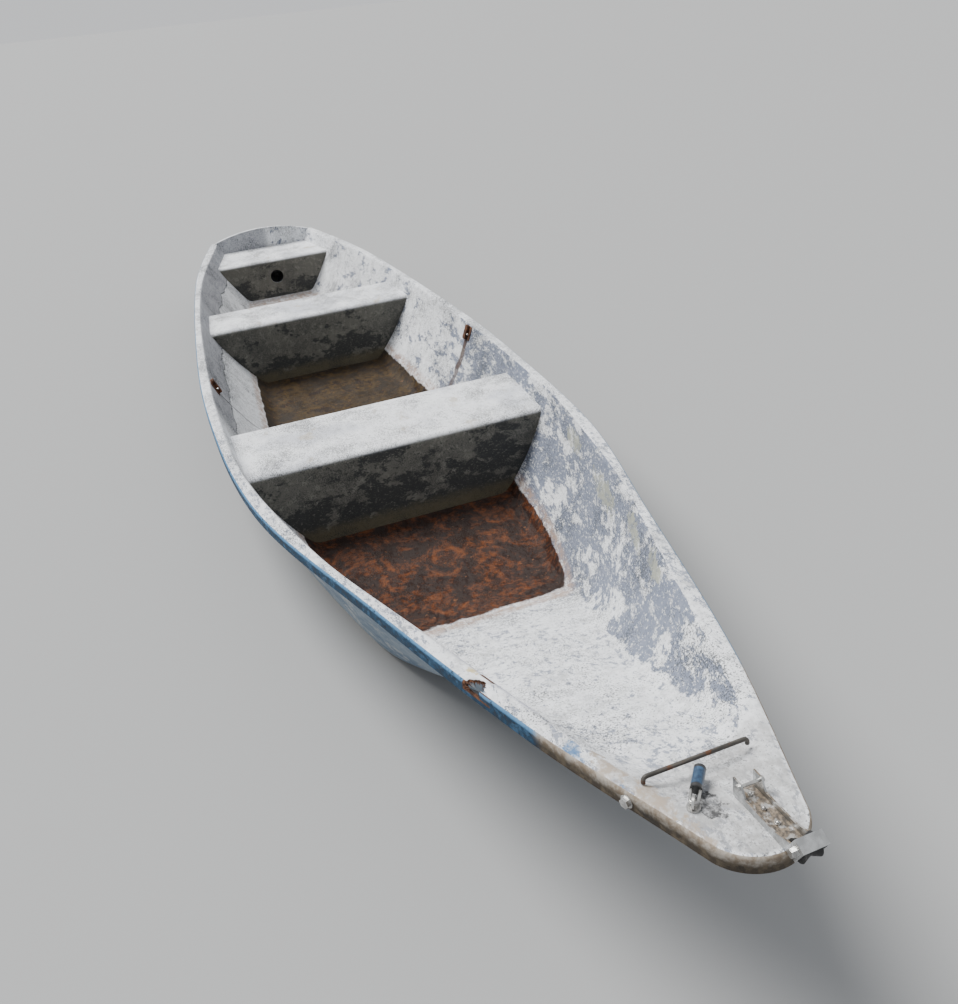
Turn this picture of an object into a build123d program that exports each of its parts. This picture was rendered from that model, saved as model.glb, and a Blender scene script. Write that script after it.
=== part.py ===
"""A flat-bottomed rowing boat of glass fibre, in millimetres.

X runs forward, Y to port and Z up. The origin is at the middle of the boat's
length and beam, on the ground under the runners. Stations are measured
forward from the transom's edge at the gunwale, heights from the cabin sole.
"""
from build123d import *
from math import atan, cos, radians, sin, sqrt, tan
import os

os.makedirs("parts", exist_ok=True)

# Hull
hull_length = 5485
laminate = 8
sheer_height = 372
sheer_rise_length = 2700
sheer_radius = 14000
sheer_arc_length = 1600
rocker_end = 1635
rocker_radius = 9900
ramp_length = 1620
ramp_radius = 700
ramp_angle = 23.5
foredeck_thickness = 44
foredeck_length = 260
well_setback = 155
chine_width = 16
aft_joint_station = 700
middle_joint_station = 2340
section_count = 22
outline_count = 30

# Gunwale flange with a down-turned lip
flange_width = 34
flange_thickness = 7
lip_height = 36
lip_thickness = 6
lip_edge_radius = 9
nose_half_width = 84
nose_length = 54

# Seats
seat_height = 306
seat_edge_radius = 26
seat_face_rake = 14
seat_wall = 8
middle_seat_front = 3385
middle_seat_depth = 413
aft_seat_front = 1707
aft_seat_depth = 340
stern_seat_front = 425
locker_hole_diameter = 80
locker_hole_height = 200

# Transom
transom_thickness = 26
transom_rake = 44
transom_crown = 54
transom_corner_drop = 7

# Runners under the flat bottom
runner_width = 46
runner_height = 14
runner_spacing = 420
runner_start = 1700
runner_length = 2150
runner_taper = 60

# Rowlock blocks, each bored for a rowlock's pin
rowlock_station = 2519
rowlock_length = 26
rowlock_depth = 17
rowlock_height = 62
rowlock_drop = 8
rowlock_plate = 4
rowlock_plate_length = 24
pin_bore_diameter = 11

# Torn socket hole in the starboard gunwale
torn_setback = 583
torn_diameter = 34
torn_inset = 9
torn_depth = 20

# Mooring bar
bar_setback = 210
bar_offset = -11
bar_length = 202
bar_diameter = 9
bar_lift = 12

# Bow channel and its roller
channel_offset = 20
channel_length = 143
channel_wall = 3
channel_cheek_height = 13
ear_height = 34
ear_length = 30
ear_top_length = 20
ear_pin_diameter = 6
pin_clearance = 0.1
roller_diameter = 36
roller_width = 30
roller_groove = 6
roller_pin_diameter = 8
roller_end_gap = 1.5
roller_overhang = 15
roller_clearance = 5
axle_height = 16
cheek_nose = 10
cheek_rise_length = 46
strap_thickness = 2.5
strap_width = 22
strap_lean = 30
pin_head_radius = 7
pin_head_height = 5

# Padlock lying on the foredeck, locked to a deck eye
padlock_setback = 170
padlock_offset = -33
padlock_angle = -40
padlock_diameter = 20
padlock_length = 50
padlock_chamfer = 1
shackle_diameter = 5
shackle_spacing = 13
shackle_length = 21
shackle_chamfer = 1
eye_hole_radius = 7
eye_width = 4
eye_thickness = 4
eye_base_diameter = 22
eye_base_thickness = 3

# Bolt through the starboard lip
bolt_setback = 203
bolt_diameter = 10
bolt_head_radius = 9.5
bolt_head_height = 7
bolt_clearance = 0.2
washer_diameter = 24
washer_thickness = 2

# Lengths that only have to be long enough for a cut
outside_reach = 1000
rowlock_wall_reach = 20
above_sheer = 50
below_sole = 10

# station, half beam of the side at the sheer, height there, half width at
# the sole, height there, outward swell between the two, height where the
# section starts, below the bottom
side_sections = (
    (-40, 300, 372, 172, 141, 3, -60),
    (967, 491, 372, 272, 22, 14, -60),
    (2176, 582, 372, 345, 0, 22, -60),
    (hull_length - 2100, 579, 385, 385, 0, 28, -60),
    (hull_length - 1356, 454, 437, 292, 15, 18, -60),
    (hull_length - 798, 296, 498, 190, 294, 4, 100),
    (hull_length - 240, 129, 562, 103, 518, 0.05, 400),
    (hull_length + 5, 45, 589, 33, 568, 0.05, 532),
)

# station, half beam outside the gunwale
gunwale_beams = (
    (0, 341),
    (400, 428),
    (967, 517),
    (2176, 608),
    (hull_length - 2565, 623),
    (hull_length - 1728, 562),
    (hull_length - 984, 375),
    (hull_length - 426, 219),
    (hull_length - nose_length, nose_half_width),
)

# Stations of what is measured back from the bow
sheer_rise_start = hull_length - sheer_rise_length
ramp_start = hull_length - ramp_length
foredeck_start = hull_length - foredeck_length
well_end = hull_length - well_setback
torn_station = hull_length - torn_setback
bar_station = hull_length - bar_setback
padlock_station = hull_length - padlock_setback
bolt_station = hull_length - bolt_setback
roller_station = hull_length + roller_overhang


def along(table, column, station):
    """Reads a table's column at a station, on a smooth line through its rows."""
    rows = [row for row in table if row[0] <= station]
    first = min(max(len(rows) - 1, 0), len(table) - 2)
    near, far = table[first], table[first + 1]
    before = table[max(first - 1, 0)]
    after = table[min(first + 2, len(table) - 1)]
    span = far[0] - near[0]
    slope_near = (far[column] - before[column]) / (far[0] - before[0])
    slope_far = (after[column] - near[column]) / (after[0] - near[0])
    t = (station - near[0]) / span
    return (
        (2 * t**3 - 3 * t**2 + 1) * near[column]
        + (t**3 - 2 * t**2 + t) * span * slope_near
        + (3 * t**2 - 2 * t**3) * far[column]
        + (t**3 - t**2) * span * slope_far
    )


def sheer_at(station):
    """Gives the sheer's height above the sole at a station."""
    run = station - sheer_rise_start
    if run <= 0:
        return sheer_height
    bend = min(run, sheer_arc_length)
    rise = sheer_radius - sqrt(sheer_radius**2 - bend**2)
    return sheer_height + rise + max(run - sheer_arc_length, 0) * deck_slope


def sole_at(station, drop=0):
    """Gives the height of the bottom at a station, lower by drop square to it."""
    if station < rocker_end:
        run = rocker_end - station
        return rocker_radius - sqrt((rocker_radius + drop) ** 2 - run**2)
    run = station - ramp_start
    if run <= 0:
        return -drop
    radius = ramp_radius + drop
    reach = radius * sin(radians(ramp_angle))
    if run < reach:
        return ramp_radius - sqrt(radius**2 - run**2)
    lift = ramp_radius - radius * cos(radians(ramp_angle))
    return lift + (run - reach) * tan(radians(ramp_angle))


def rake_at(height):
    """Gives the station of the transom's raked aft face at a height."""
    foot_height = sole_at(transom_rake, laminate)
    return transom_rake * (sheer_height - height) / (sheer_height - foot_height)


# The boat lies centred between the transom's crown and the roller's front
deck_slope = sheer_arc_length / sqrt(sheer_radius**2 - sheer_arc_length**2)
crown_reach = rake_at(sheer_height + transom_crown)
strap_inside = roller_diameter / 2 + roller_clearance
strap_tilt = radians(strap_lean) - atan(deck_slope)
strap_front = (strap_inside + strap_thickness) * sin(strap_tilt) + strap_width / 2 * cos(strap_tilt)
roller_front = max(roller_diameter / 2, strap_front)
roller_reach = roller_overhang + roller_front - axle_height * sin(atan(deck_slope))
transom_x = -(hull_length + roller_reach + crown_reach) / 2
floor_z = runner_height + laminate
block_top = floor_z + sheer_at(hull_length) + 10


def x_at(station):
    """Gives the X of a station."""
    return transom_x + station


def at(station, height):
    """Places a side-view point, with the height taken from the sole."""
    return (x_at(station), floor_z + height)


def section_plane(station):
    """Gives the cross plane at a station, with Y across and Z up."""
    return Plane(origin=(x_at(station), 0, 0), x_dir=(0, 1, 0), z_dir=(1, 0, 0))


def side_view(y=0):
    """Gives the side-view plane at a distance to port, with X across and Z up."""
    return Plane(origin=(0, y, 0), x_dir=(1, 0, 0), z_dir=(0, -1, 0))


def deck_plane(station, y=0):
    """Gives the plane of the foredeck's top, with X forward along its slope."""
    return Plane(
        origin=(x_at(station), y, floor_z + sheer_at(station)),
        x_dir=(1, 0, deck_slope),
        z_dir=(-deck_slope, 0, 1),
    )


def side_circle(section, inset):
    """Gives the centre and radius of a section's side arc, inset inwards."""
    station, top_half, top_z, low_half, low_z, swell, start_z = section
    chord = sqrt((top_half - low_half) ** 2 + (top_z - low_z) ** 2)
    radius = chord**2 / (8 * swell) + swell / 2
    rise = (top_z - low_z) / chord
    flare = (top_half - low_half) / chord
    centre_y = (top_half + low_half) / 2 - (radius - swell) * rise
    centre_z = (top_z + low_z) / 2 + (radius - swell) * flare
    return centre_y, centre_z, radius - inset


def side_half_beam(section, height, inset=0):
    """Gives a section's half beam at a height above the sole."""
    centre_y, centre_z, radius = side_circle(section, inset)
    return centre_y + sqrt(radius**2 - (height - centre_z) ** 2)


def side_section(station):
    """Gives the row of side_sections that a station would have."""
    return [station] + [along(side_sections, column, station) for column in range(1, 7)]


def side_arc(section, low, high, inset):
    """Gives three points up the port side of a section, from low to high."""
    return [
        (side_half_beam(section, height, inset), floor_z + height)
        for height in (low, (low + high) / 2, high)
    ]


def mirrored(points):
    """Gives the points on the other side of the centreline."""
    return [(-y, z) for y, z in points]


def side_faces(inset):
    """Gives the cross sections of the space between the sides."""
    first, last = side_sections[0][0], side_sections[-1][0]
    faces = []
    for index in range(section_count + 1):
        section = side_section(first + (last - first) * index / section_count)
        arc = side_arc(section, section[6], section[2] + 1.5 * above_sheer, inset)
        far = mirrored(arc)
        with BuildSketch(section_plane(section[0])) as face:
            with BuildLine():
                ThreePointArc(*arc)
                Line(arc[2], far[2])
                ThreePointArc(*reversed(far))
                Line(far[0], arc[0])
            make_face()
        faces.append(face.sketch)
    return faces


def draw_bottom_line(drop, start, end):
    """Draws the bottom in side view, lower by drop, from start to end."""
    arc_end = ramp_start + (ramp_radius + drop) * sin(radians(ramp_angle))
    rocker_middle = (start + rocker_end) / 2
    ramp_middle = (ramp_start + arc_end) / 2
    ThreePointArc(
        at(start, sole_at(start, drop)),
        at(rocker_middle, sole_at(rocker_middle, drop)),
        at(rocker_end, -drop),
    )
    Line(at(rocker_end, -drop), at(ramp_start, -drop))
    ThreePointArc(
        at(ramp_start, -drop),
        at(ramp_middle, sole_at(ramp_middle, drop)),
        at(arc_end, sole_at(arc_end, drop)),
    )
    Line(at(arc_end, sole_at(arc_end, drop)), at(end, sole_at(end, drop)))


def draw_sheer_line(offset, start, end):
    """Draws the sheer in side view, higher by offset, from start to end."""
    arc_end = sheer_rise_start + sheer_arc_length
    arc_middle = sheer_rise_start + sheer_arc_length / 2
    Line(at(start, sheer_height + offset), at(sheer_rise_start, sheer_height + offset))
    ThreePointArc(
        at(sheer_rise_start, sheer_height + offset),
        at(arc_middle, sheer_at(arc_middle) + offset),
        at(arc_end, sheer_at(arc_end) + offset),
    )
    Line(at(arc_end, sheer_at(arc_end) + offset), at(end, sheer_at(end) + offset))


def sheer_band(high, low, start, end):
    """Gives the side-view face between two offsets from the sheer."""
    with BuildSketch(side_view()) as band:
        with BuildLine():
            draw_sheer_line(high, start, end)
            draw_sheer_line(low, start, end)
            for station in (start, end):
                height = sheer_at(station)
                Line(at(station, height + high), at(station, height + low))
        make_face()
    return band.sketch


def gunwale_points(side, inset=0):
    """Gives points along one side of the gunwale's plan outline."""
    nose_start = gunwale_beams[-1][0]
    stations = [nose_start * index / outline_count for index in range(outline_count + 1)]
    return [(x_at(s), side * (along(gunwale_beams, 1, s) - inset)) for s in stations]


def gunwale_outline(inset):
    """Gives the gunwale's plan outline, smaller by inset all round."""
    points = gunwale_points(1, inset)
    far = [(x, -y) for x, y in points]
    nose = (x_at(hull_length) - inset, 0)
    with BuildSketch() as outline:
        with BuildLine():
            Spline(*points)
            ThreePointArc(points[-1], nose, far[-1])
            Spline(*far)
            Line(points[0], far[0])
        make_face()
    return outline.sketch


# The underside of the foredeck meets the underside of the ramp at the knee
sheer_end = sheer_rise_start + sheer_arc_length
deck_gap = sheer_at(sheer_end) - foredeck_thickness - sole_at(sheer_end, laminate)
knee_station = sheer_end + deck_gap / (tan(radians(ramp_angle)) - deck_slope)
hull_inset = flange_width - laminate
foredeck_split = Plane.YZ.offset(x_at(foredeck_start))

# The space inside the hull, from the sole to above the sheer
with BuildPart() as inner_space:
    loft(side_faces(laminate), ruled=True)
    with BuildSketch(side_view()):
        with BuildLine():
            draw_bottom_line(0, -20, well_end)
            draw_sheer_line(above_sheer, -20, well_end)
            for station in (-20, well_end):
                Line(at(station, sole_at(station)), at(station, sheer_at(station) + above_sheer))
        make_face()
    extrude(amount=outside_reach, both=True, mode=Mode.INTERSECT)

# The hull's outer form, filled
with BuildPart() as hull_form:
    loft(side_faces(0), ruled=True)
    with BuildSketch(side_view()):
        with BuildLine():
            draw_bottom_line(laminate, transom_rake, knee_station)
            draw_sheer_line(0, 0, hull_length)
            Polyline(
                at(knee_station, sole_at(knee_station, laminate)),
                at(hull_length, sheer_at(hull_length) - foredeck_thickness),
                at(hull_length, sheer_at(hull_length)),
            )
            Line(at(transom_rake, sole_at(transom_rake, laminate)), at(0, sheer_height))
        make_face()
    extrude(amount=outside_reach, both=True, mode=Mode.INTERSECT)
    extrude(gunwale_outline(hull_inset), amount=block_top, mode=Mode.INTERSECT)

# The moulded shell, split below where the panels meet
with BuildPart() as shell:
    add(hull_form.part)
    add(inner_space.part, mode=Mode.SUBTRACT)

with BuildPart() as foredeck:
    add(shell.part)
    split(bisect_by=foredeck_split, keep=Keep.TOP)
foredeck.part.label = "foredeck"
export_step(foredeck.part, "parts/foredeck.step")

# The bottom panel ends just inside the chines
bottom_edge = []
for index in range(25):
    station = foredeck_start * index / 24
    height = max(sole_at(station), 0)
    half_width = side_half_beam(side_section(station), height, laminate + chine_width)
    bottom_edge.append((x_at(station), half_width))

with BuildSketch() as bottom_outline:
    with BuildLine():
        Polyline(*bottom_edge)
        Polyline(*[(x, -y) for x, y in bottom_edge])
        for x, y in (bottom_edge[0], bottom_edge[-1]):
            Line((x, y), (x, -y))
    make_face()

with BuildPart() as bottom_panel:
    add(shell.part)
    extrude(bottom_outline.sketch, amount=block_top, mode=Mode.INTERSECT)
bottom_panel.part.label = "bottom_panel"
export_step(bottom_panel.part, "parts/bottom_panel.step")

# The torn socket hole, through the flange and into the side's top
torn_y = torn_inset - along(gunwale_beams, 1, torn_station)
with BuildPart() as torn_hole:
    with BuildSketch(deck_plane(torn_station, torn_y).offset(-torn_depth)):
        Circle(torn_diameter / 2)
        with Locations((torn_diameter * 0.2, torn_diameter * 0.15)):
            Rectangle(torn_diameter * 0.8, torn_diameter * 0.7, rotation=25)
    extrude(amount=torn_depth + above_sheer)

with BuildPart() as both_sides:
    add(shell.part)
    split(bisect_by=foredeck_split, keep=Keep.BOTTOM)
    extrude(bottom_outline.sketch, amount=block_top, mode=Mode.SUBTRACT)
    add(torn_hole.part, mode=Mode.SUBTRACT)

# What lies forward of the transom's raked face
with BuildPart() as ahead_of_rake:
    with BuildSketch(side_view()):
        with BuildLine():
            Polyline(
                at(rake_at(-outside_reach), -outside_reach),
                at(rake_at(outside_reach), outside_reach),
                at(hull_length + outside_reach, outside_reach),
                at(hull_length + outside_reach, -outside_reach),
                close=True,
            )
        make_face()
    extrude(amount=outside_reach, both=True)


def is_lip_edge(edge):
    """Tells whether an edge is the lip's top outer edge."""
    middle = edge @ 0.5
    height = floor_z + sheer_at(middle.X - transom_x)
    return abs(middle.Z - height) < 1 and (edge @ 0 - edge @ 1).X != 0


# Gunwale flange with its lip, all round the hull
with BuildPart() as gunwale_ring:
    extrude(sheer_band(0, -lip_height, 0, hull_length), amount=outside_reach, both=True)
    extrude(gunwale_outline(0), amount=block_top, mode=Mode.INTERSECT)
    fillet([edge for edge in gunwale_ring.edges() if is_lip_edge(edge)], lip_edge_radius)
    add(ahead_of_rake.part, mode=Mode.INTERSECT)
    add(hull_form.part, mode=Mode.SUBTRACT)

with BuildPart() as lip_space:
    low = -lip_height - 10
    extrude(sheer_band(-flange_thickness, low, -10, hull_length), amount=outside_reach, both=True)
    extrude(gunwale_outline(lip_thickness), amount=block_top, mode=Mode.INTERSECT)

# Bolt square to the lip, its head outside and its nut in the lip's hollow
with BuildLine():
    lip_line = Spline(*gunwale_points(-1))
near_bolt = Vertex(x_at(bolt_station), -along(gunwale_beams, 1, bolt_station), 0)
bolt_spot = lip_line.closest_points(near_bolt)[0]
lip_run = lip_line % lip_line.param_at_point(bolt_spot)
bolt_height = sheer_at(bolt_spot.X - transom_x) - lip_height / 2
bolt_plane = Plane(
    origin=(bolt_spot.X, bolt_spot.Y, floor_z + bolt_height),
    x_dir=lip_run,
    z_dir=(lip_run.Y, -lip_run.X, 0),
)
with BuildPart() as lip_bolt:
    with BuildSketch(bolt_plane):
        Circle(washer_diameter / 2)
    extrude(amount=washer_thickness)
    with BuildSketch(bolt_plane.offset(washer_thickness)):
        RegularPolygon(bolt_head_radius, 6)
    extrude(amount=bolt_head_height)
    with BuildSketch(bolt_plane):
        Circle(bolt_diameter / 2)
    extrude(amount=-lip_thickness - bolt_head_height)
    with BuildSketch(bolt_plane.offset(-lip_thickness - 0.5)):
        RegularPolygon(bolt_head_radius, 6)
    extrude(amount=-bolt_head_height)
lip_bolt.part.label = "lip_bolt"
export_step(lip_bolt.part, "parts/lip_bolt.step")

with BuildPart() as bolt_hole:
    with BuildSketch(bolt_plane):
        Circle((bolt_diameter + bolt_clearance) / 2)
    extrude(amount=lip_thickness * 2, both=True)

with BuildPart() as gunwales:
    add(gunwale_ring.part)
    for cut in (lip_space, torn_hole, bolt_hole):
        add(cut.part, mode=Mode.SUBTRACT)

both_hands = (("port", Keep.BOTTOM), ("starboard", Keep.TOP))
for hand, keep in both_hands:
    with BuildPart() as gunwale:
        add(gunwales.part)
        split(bisect_by=Plane.XZ, keep=keep)
    gunwale.part.label = f"gunwale_{hand}"
    export_step(gunwale.part, f"parts/gunwale_{hand}.step")

# Each side is one moulding in the real boat. It is given in five lengths that
# meet face to face, because collision hulls as long as the whole curved side
# would cut its corner and fill the space between the sides.
under_aft_seat = aft_seat_front - aft_seat_depth / 2
under_middle_seat = middle_seat_front - middle_seat_depth / 2
side_lengths = (
    ("stern", -outside_reach, aft_joint_station),
    ("aft", aft_joint_station, under_aft_seat),
    ("middle", under_aft_seat, middle_joint_station),
    ("fore", middle_joint_station, under_middle_seat),
    ("bow", under_middle_seat, hull_length + outside_reach),
)
for hand, keep in both_hands:
    with BuildPart() as whole_side:
        add(both_sides.part)
        split(bisect_by=Plane.XZ, keep=keep)
    for stretch, start, end in side_lengths:
        with BuildPart() as side:
            add(whole_side.part)
            with BuildSketch(section_plane(start)):
                Rectangle(2 * outside_reach, 2 * outside_reach)
            extrude(amount=end - start, mode=Mode.INTERSECT)
        side.part.label = f"side_{stretch}_{hand}"
        export_step(side.part, f"parts/side_{stretch}_{hand}.step")

# Transom board, raked with the hull's end, with its crowned top
transom_low = sole_at(transom_rake) - laminate / 2
corner_y = gunwale_beams[0][1]
corner_z = floor_z + sheer_height - transom_corner_drop
with BuildPart() as transom:
    loft(side_faces(laminate / 2), ruled=True)
    with BuildSketch(section_plane(crown_reach - 1)):
        with BuildLine():
            crown_z = floor_z + sheer_height + transom_crown
            ThreePointArc((-corner_y, corner_z), (0, crown_z), (corner_y, corner_z))
            Polyline(
                (corner_y, corner_z),
                (corner_y, floor_z + transom_low),
                (-corner_y, floor_z + transom_low),
                (-corner_y, corner_z),
            )
        make_face()
    extrude(amount=2 * (transom_rake + transom_thickness), mode=Mode.INTERSECT)
    with BuildSketch(side_view()):
        with BuildLine():
            low = transom_low - 10
            high = sheer_height + transom_crown + 10
            Polyline(
                at(rake_at(low), low),
                at(rake_at(low) + transom_thickness, low),
                at(rake_at(high) + transom_thickness, high),
                at(rake_at(high), high),
                close=True,
            )
        make_face()
    extrude(amount=outside_reach, both=True, mode=Mode.INTERSECT)
    add(shell.part, mode=Mode.SUBTRACT)
    add(gunwale_ring.part, mode=Mode.SUBTRACT)
transom.part.label = "transom"
export_step(transom.part, "parts/transom.step")

# Box seats across the hull
for name, front, depth in (
    ("middle_seat", middle_seat_front, middle_seat_depth),
    ("aft_seat", aft_seat_front, aft_seat_depth),
):
    with BuildPart() as seat:
        with BuildSketch(side_view()):
            with BuildLine():
                FilletPolyline(
                    at(front + seat_face_rake, -below_sole),
                    at(front, seat_height),
                    at(front - depth, seat_height),
                    at(front - depth - seat_face_rake, -below_sole),
                    radius=seat_edge_radius,
                )
                Line(
                    at(front - depth - seat_face_rake, -below_sole),
                    at(front + seat_face_rake, -below_sole),
                )
            make_face()
        extrude(amount=outside_reach, both=True)
        add(inner_space.part, mode=Mode.INTERSECT)
    seat.part.label = name
    export_step(seat.part, f"parts/{name}.step")

# Stern seat, a bent panel with the locker's hole in its face
with BuildPart() as stern_seat:
    with BuildSketch(side_view()):
        with BuildLine():
            FilletPolyline(
                at(stern_seat_front + seat_face_rake, -below_sole),
                at(stern_seat_front, seat_height),
                at(transom_thickness, seat_height),
                radius=seat_edge_radius,
            )
            Line(at(transom_thickness, seat_height), at(transom_thickness, seat_height - seat_wall))
            FilletPolyline(
                at(transom_thickness, seat_height - seat_wall),
                at(stern_seat_front - seat_wall, seat_height - seat_wall),
                at(stern_seat_front + seat_face_rake - seat_wall, -below_sole),
                radius=seat_edge_radius - seat_wall,
            )
            Line(
                at(stern_seat_front + seat_face_rake - seat_wall, -below_sole),
                at(stern_seat_front + seat_face_rake, -below_sole),
            )
        make_face()
    extrude(amount=outside_reach, both=True)
    add(inner_space.part, mode=Mode.INTERSECT)
    add(transom.part, mode=Mode.SUBTRACT)
    with BuildSketch(section_plane(stern_seat_front - 60)):
        with Locations((0, floor_z + locker_hole_height)):
            Circle(locker_hole_diameter / 2)
    extrude(amount=120, mode=Mode.SUBTRACT)
stern_seat.part.label = "stern_seat"
export_step(stern_seat.part, "parts/stern_seat.step")

# Runners under the flat of the bottom
runner_x = x_at(runner_start)
with BuildPart() as runners:
    for side in (1, -1):
        with BuildSketch(side_view(side * runner_spacing / 2)):
            with BuildLine():
                Polyline(
                    (runner_x, runner_height),
                    (runner_x + runner_taper, 0),
                    (runner_x + runner_length - runner_taper, 0),
                    (runner_x + runner_length, runner_height),
                    close=True,
                )
            make_face()
        extrude(amount=runner_width / 2, both=True)
runners.part.label = "runners"
export_step(runners.part, "parts/runners.step")

# Rowlock blocks on the sides, bored along the flare, each with a bolting plate
rowlock_x = x_at(rowlock_station)
rowlock_section = side_section(rowlock_station)
rowlock_top = sheer_at(rowlock_station) - rowlock_drop
wall_top = side_half_beam(rowlock_section, rowlock_top, laminate)
wall_low = side_half_beam(rowlock_section, rowlock_top - rowlock_height, laminate)
rowlock_flare = atan((wall_top - wall_low) / rowlock_height)
for name, side in (("port", 1), ("starboard", -1)):
    top_plane = Plane(
        origin=(rowlock_x, side * wall_top, floor_z + rowlock_top),
        x_dir=(1, 0, 0),
        z_dir=(0, side * sin(rowlock_flare), cos(rowlock_flare)),
    )
    plate_x = (rowlock_length + rowlock_plate_length) / 2
    with BuildPart() as rowlock_block:
        with BuildSketch(top_plane):
            with Locations((0, side * (rowlock_wall_reach - rowlock_depth) / 2)):
                Rectangle(rowlock_length, rowlock_wall_reach + rowlock_depth)
            with Locations((plate_x, side * (rowlock_wall_reach - rowlock_plate) / 2)):
                Rectangle(rowlock_plate_length, rowlock_wall_reach + rowlock_plate)
        extrude(amount=-rowlock_height)
        add(inner_space.part, mode=Mode.INTERSECT)
        with BuildSketch(top_plane):
            with Locations((0, -side * rowlock_depth / 2)):
                Circle(pin_bore_diameter / 2)
        extrude(amount=-2 * rowlock_height, both=True, mode=Mode.SUBTRACT)
    rowlock_block.part.label = f"rowlock_block_{name}"
    export_step(rowlock_block.part, f"parts/rowlock_block_{name}.step")

# Mooring bar across the rear of the foredeck
bar_plane = deck_plane(bar_station, bar_offset)
with BuildPart() as mooring_bar:
    with BuildSketch(Plane(origin=bar_plane.origin, x_dir=(0, 1, 0), z_dir=bar_plane.x_dir)):
        with Locations((0, bar_lift)):
            SlotOverall(bar_length, bar_diameter)
        for side in (1, -1):
            with Locations((side * (bar_length - bar_diameter) / 2, bar_lift / 2)):
                Rectangle(bar_diameter, bar_lift)
    extrude(amount=bar_diameter / 2, both=True)
mooring_bar.part.label = "mooring_bar"
export_step(mooring_bar.part, "parts/mooring_bar.step")

# Bow channel, its two cheeks holding the roller and their aft ears a pin
channel_inside = roller_width + 2 * roller_end_gap
channel_width = channel_inside + 2 * channel_wall
roller_bore_diameter = roller_pin_diameter + pin_clearance
channel_plane = deck_plane(roller_station, channel_offset)
channel_aft = -channel_length
base_front = -(roller_diameter / 2 + roller_clearance)
ear_middle = channel_aft + ear_length / 2
ear_pin_height = ear_height - ear_pin_diameter * 1.5


def channel_side(along_channel, above_deck, across=0):
    """Gives a plane facing port at a point of the channel's side view."""
    return Plane(
        origin=channel_plane.from_local_coords((along_channel, across, above_deck)),
        x_dir=channel_plane.x_dir,
        z_dir=-channel_plane.y_dir,
    )


with BuildPart() as bow_channel:
    with BuildSketch(channel_plane):
        with Locations(((channel_aft + base_front) / 2, 0)):
            Rectangle(base_front - channel_aft, channel_width)
    extrude(amount=channel_wall)
    for side in (1, -1):
        with BuildSketch(channel_side(0, 0, side * (channel_width - channel_wall) / 2)):
            with BuildLine():
                Polyline(
                    (channel_aft, 0),
                    (channel_aft, ear_height),
                    (channel_aft + ear_top_length, ear_height),
                    (channel_aft + ear_length, channel_cheek_height),
                    (-cheek_rise_length, channel_cheek_height),
                    (0, axle_height + cheek_nose),
                    (cheek_nose * 0.8, axle_height + cheek_nose * 0.6),
                    (cheek_nose * 0.8, axle_height - cheek_nose * 0.6),
                    (0, axle_height - cheek_nose),
                    (base_front, 0),
                    close=True,
                )
            make_face()
            with Locations((0, axle_height)):
                Circle(roller_bore_diameter / 2, mode=Mode.SUBTRACT)
            with Locations((ear_middle, ear_pin_height)):
                Circle((ear_pin_diameter + pin_clearance) / 2, mode=Mode.SUBTRACT)
        extrude(amount=channel_wall / 2, both=True)
bow_channel.part.label = "bow_channel"
export_step(bow_channel.part, "parts/bow_channel.step")

# Roller with a groove for the line, turning on its own pin
axle_side = channel_side(0, axle_height)
with BuildPart() as bow_roller:
    roller_end = roller_width / 2
    axle_cross = Plane(
        origin=axle_side.origin, x_dir=channel_plane.y_dir, z_dir=channel_plane.x_dir
    )
    with BuildSketch(axle_cross):
        with BuildLine():
            Polyline(
                (-roller_end, roller_bore_diameter / 2),
                (-roller_end, roller_diameter / 2),
                (0, roller_diameter / 2 - roller_groove),
                (roller_end, roller_diameter / 2),
                (roller_end, roller_bore_diameter / 2),
                close=True,
            )
        make_face()
    revolve(axis=Axis(axle_side.origin, channel_plane.y_dir))
bow_roller.part.label = "bow_roller"
export_step(bow_roller.part, "parts/bow_roller.step")

# Strap over the roller, outside the cheeks, leaning forward
strap_half = channel_width / 2 + strap_thickness
strap_cross = axle_cross.rotated((0, strap_lean, 0))
with BuildPart() as roller_strap:
    with BuildSketch(strap_cross):
        with Locations((0, (strap_inside + strap_thickness - cheek_nose) / 2)):
            Rectangle(2 * strap_half, strap_inside + strap_thickness + cheek_nose)
        with Locations((0, (strap_inside - cheek_nose) / 2 - 1)):
            Rectangle(channel_width, strap_inside + cheek_nose + 2, mode=Mode.SUBTRACT)
    extrude(amount=strap_width / 2, both=True)
    with BuildSketch(axle_side):
        Circle(roller_bore_diameter / 2)
    extrude(amount=outside_reach, both=True, mode=Mode.SUBTRACT)
roller_strap.part.label = "roller_strap"
export_step(roller_strap.part, "parts/roller_strap.step")

# The roller's pin and the ears' pin, each with two hexagon heads
for name, plane, diameter, head_at, head_radius, head_height in (
    ("roller_pin", axle_side, roller_pin_diameter, strap_half, pin_head_radius, pin_head_height),
    (
        "ear_pin",
        channel_side(ear_middle, ear_pin_height),
        ear_pin_diameter,
        channel_width / 2,
        ear_pin_diameter * 0.9,
        ear_pin_diameter * 0.7,
    ),
):
    with BuildPart() as pin:
        with BuildSketch(plane):
            Circle(diameter / 2)
        extrude(amount=head_at + 1, both=True)
        for side in (1, -1):
            with BuildSketch(plane.offset(side * head_at)):
                RegularPolygon(head_radius, 6)
            extrude(amount=side * head_height)
    pin.part.label = name
    export_step(pin.part, f"parts/{name}.step")

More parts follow.
